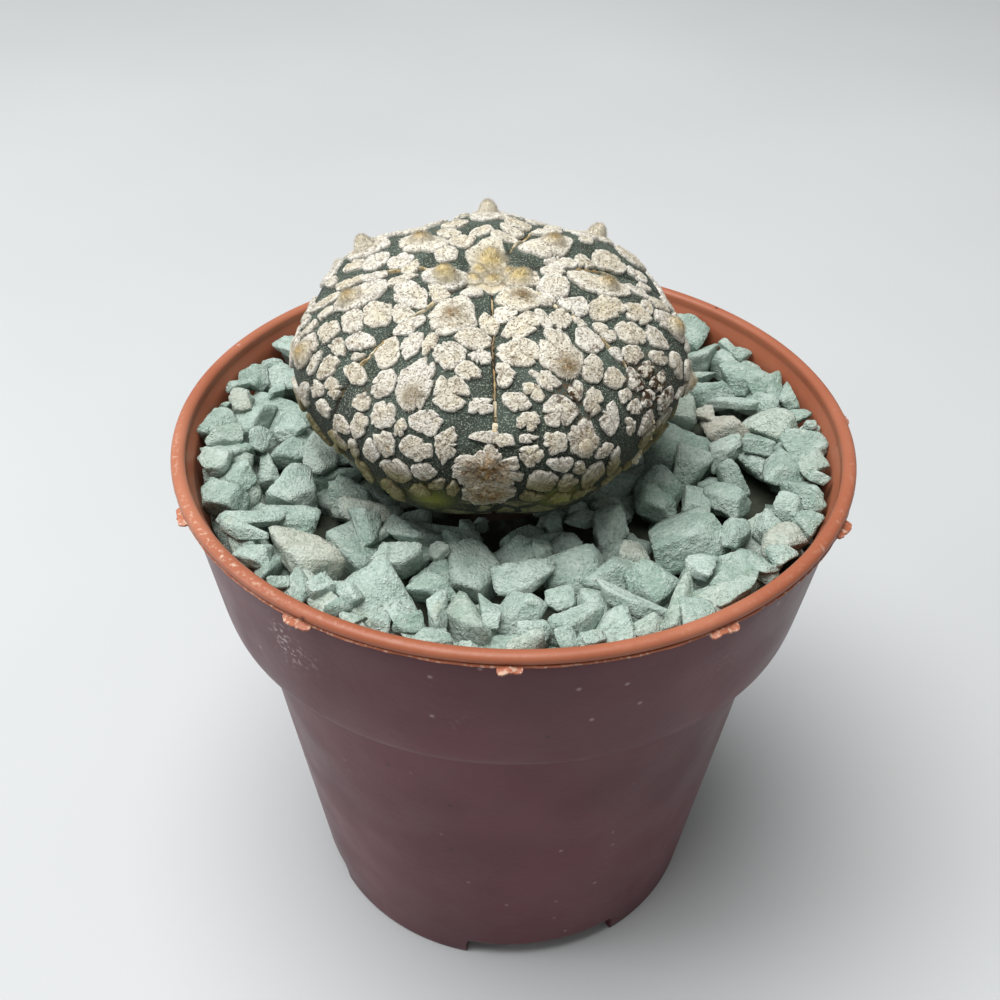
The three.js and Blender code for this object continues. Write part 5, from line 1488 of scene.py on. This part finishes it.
def makeBedMaterial():
    paint = Paint("bedGritAndShade")
    crumbs, _ = paint.crumbs(1500.0, 0.5)
    # Painted shade: the grit is coloured near-black, as the shaded gaps between the chips look
    paint.colour = paint.blend(crumbs, (26, 28, 22), (74, 80, 66))
    return paint.finished(1.0, crumbs, 0.0006)


bed = {"hole": 6.2, "rim": 25.1, "span": 18.9, "step": 0.5, "top": 42.5, "underside": 41.3, "columns": 120}


# The grit under the chips, coloured near-black as painted shade for the gaps between them: a thin disc with a
# lumpy top and a hole for the root
def makeBed():
    around = bed["columns"]
    radii = np.concatenate([np.arange(bed["hole"], bed["rim"] - 0.2, bed["step"]), [bed["rim"]]])
    angle = np.arange(around) / around * 2 * math.pi
    rings = []
    for side in (1, -1):
        for radius in radii[::side]:
            ring = np.stack([radius * np.cos(angle), radius * np.sin(angle), np.zeros(around)], 1)
            lumps = bed["top"] + 0.35 * bumpNoise(ring, 1.3, 71) + 0.2 * bumpNoise(ring, 0.6, 72)
            ring[:, 2] = lumps if side > 0 else bed["underside"]
            ring[:, 0] += stem["x"] * (1 - (radius - bed["hole"]) / bed["span"]) ** 2
            rings.append(ring)
    rings.append(rings[0])
    faces = ringFaces(len(rings), around)
    piece = makePiece("gravelBed", np.concatenate(rings), faces.tolist(), makeBedMaterial())
    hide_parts("gravel")


makeGravel()
print("gravel made")


# The soil keeps its solid

def makeSoilMaterial():
    paint = Paint("pottingMix")
    crumbs, _ = paint.crumbs(900.0, 0.5)
    paint.colour = paint.blend(crumbs, (34, 26, 20), (92, 74, 58))
    paint.coat(paint.dots(600.0, 0.4, 0.12), (168, 160, 146))
    return paint.finished(1.0, crumbs, 0.0008)


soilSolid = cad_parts["soil"]
soilSolid.data.materials.clear()
soilSolid.data.materials.append(makeSoilMaterial())
print("soil dressed")


# Floor, light and camera

def makeFloorMaterial():
    paint = Paint("paleFloor")
    paint.colour = paint.blend(paint.patches(6.0, 3.0, 0.2, 0.8), (176, 179, 182), (186, 189, 192))
    return paint.finished(0.8)


def makeFloor():
    bpy.ops.mesh.primitive_plane_add(size=6, location=(0, 0, 0))
    floor = bpy.context.object
    floor.name = "paleFloor"
    floor.data.materials.append(makeFloorMaterial())


def addLight(name, place, target, size, power, colour):
    light = bpy.data.lights.new(name, "AREA")
    light.shape = "DISK"
    light.size = size
    light.energy = power
    light.color = colour
    lamp = bpy.data.objects.new(name, light)
    bpy.context.collection.objects.link(lamp)
    lamp.location = place
    lamp.rotation_euler = (Vector(target) - Vector(place)).to_track_quat("-Z", "Y").to_euler()


def makeLights():
    world = bpy.data.worlds.new("softRoom")
    bpy.context.scene.world = world
    world.use_nodes = True
    background = world.node_tree.nodes["Background"]
    background.inputs["Color"].default_value = srgb(232, 233, 230)
    background.inputs["Strength"].default_value = 0.42
    addLight("skyLight", (-0.12, -0.02, 0.6), (0, 0, 0.04), 0.5, 5.7, (1, 0.985, 0.96))
    addLight("sideLight", (-0.7, -0.1, 0.3), (0, 0, 0.03), 0.3, 1.5, (0.94, 0.97, 1))


def makeCamera():
    shot = {"place": (-0.00102, -0.0832, 0.10478), "pitch": 0.6614, "roll": 0.0138, "lens": 44.17}
    camera = bpy.data.cameras.new("shot")
    camera.lens = shot["lens"]
    camera.sensor_width = 36
    camera.sensor_fit = "HORIZONTAL"
    camera.clip_start = 0.005
    holder = bpy.data.objects.new("shot", camera)
    bpy.context.collection.objects.link(holder)
    right = Vector((1, 0, 0))
    up = Vector((0, math.sin(shot["pitch"]), math.cos(shot["pitch"])))
    back = Vector((0, -math.cos(shot["pitch"]), math.sin(shot["pitch"])))
    across = right * math.cos(shot["roll"]) + up * math.sin(shot["roll"])
    above = up * math.cos(shot["roll"]) - right * math.sin(shot["roll"])
    turned = Matrix((across, above, back)).transposed().to_4x4()
    holder.matrix_world = Matrix.Translation(Vector(shot["place"])) @ turned
    bpy.context.scene.camera = holder


makeFloor()
makeLights()
makeCamera()
bpy.context.scene.view_settings.view_transform = "Standard"
print("floor, lights and camera set")
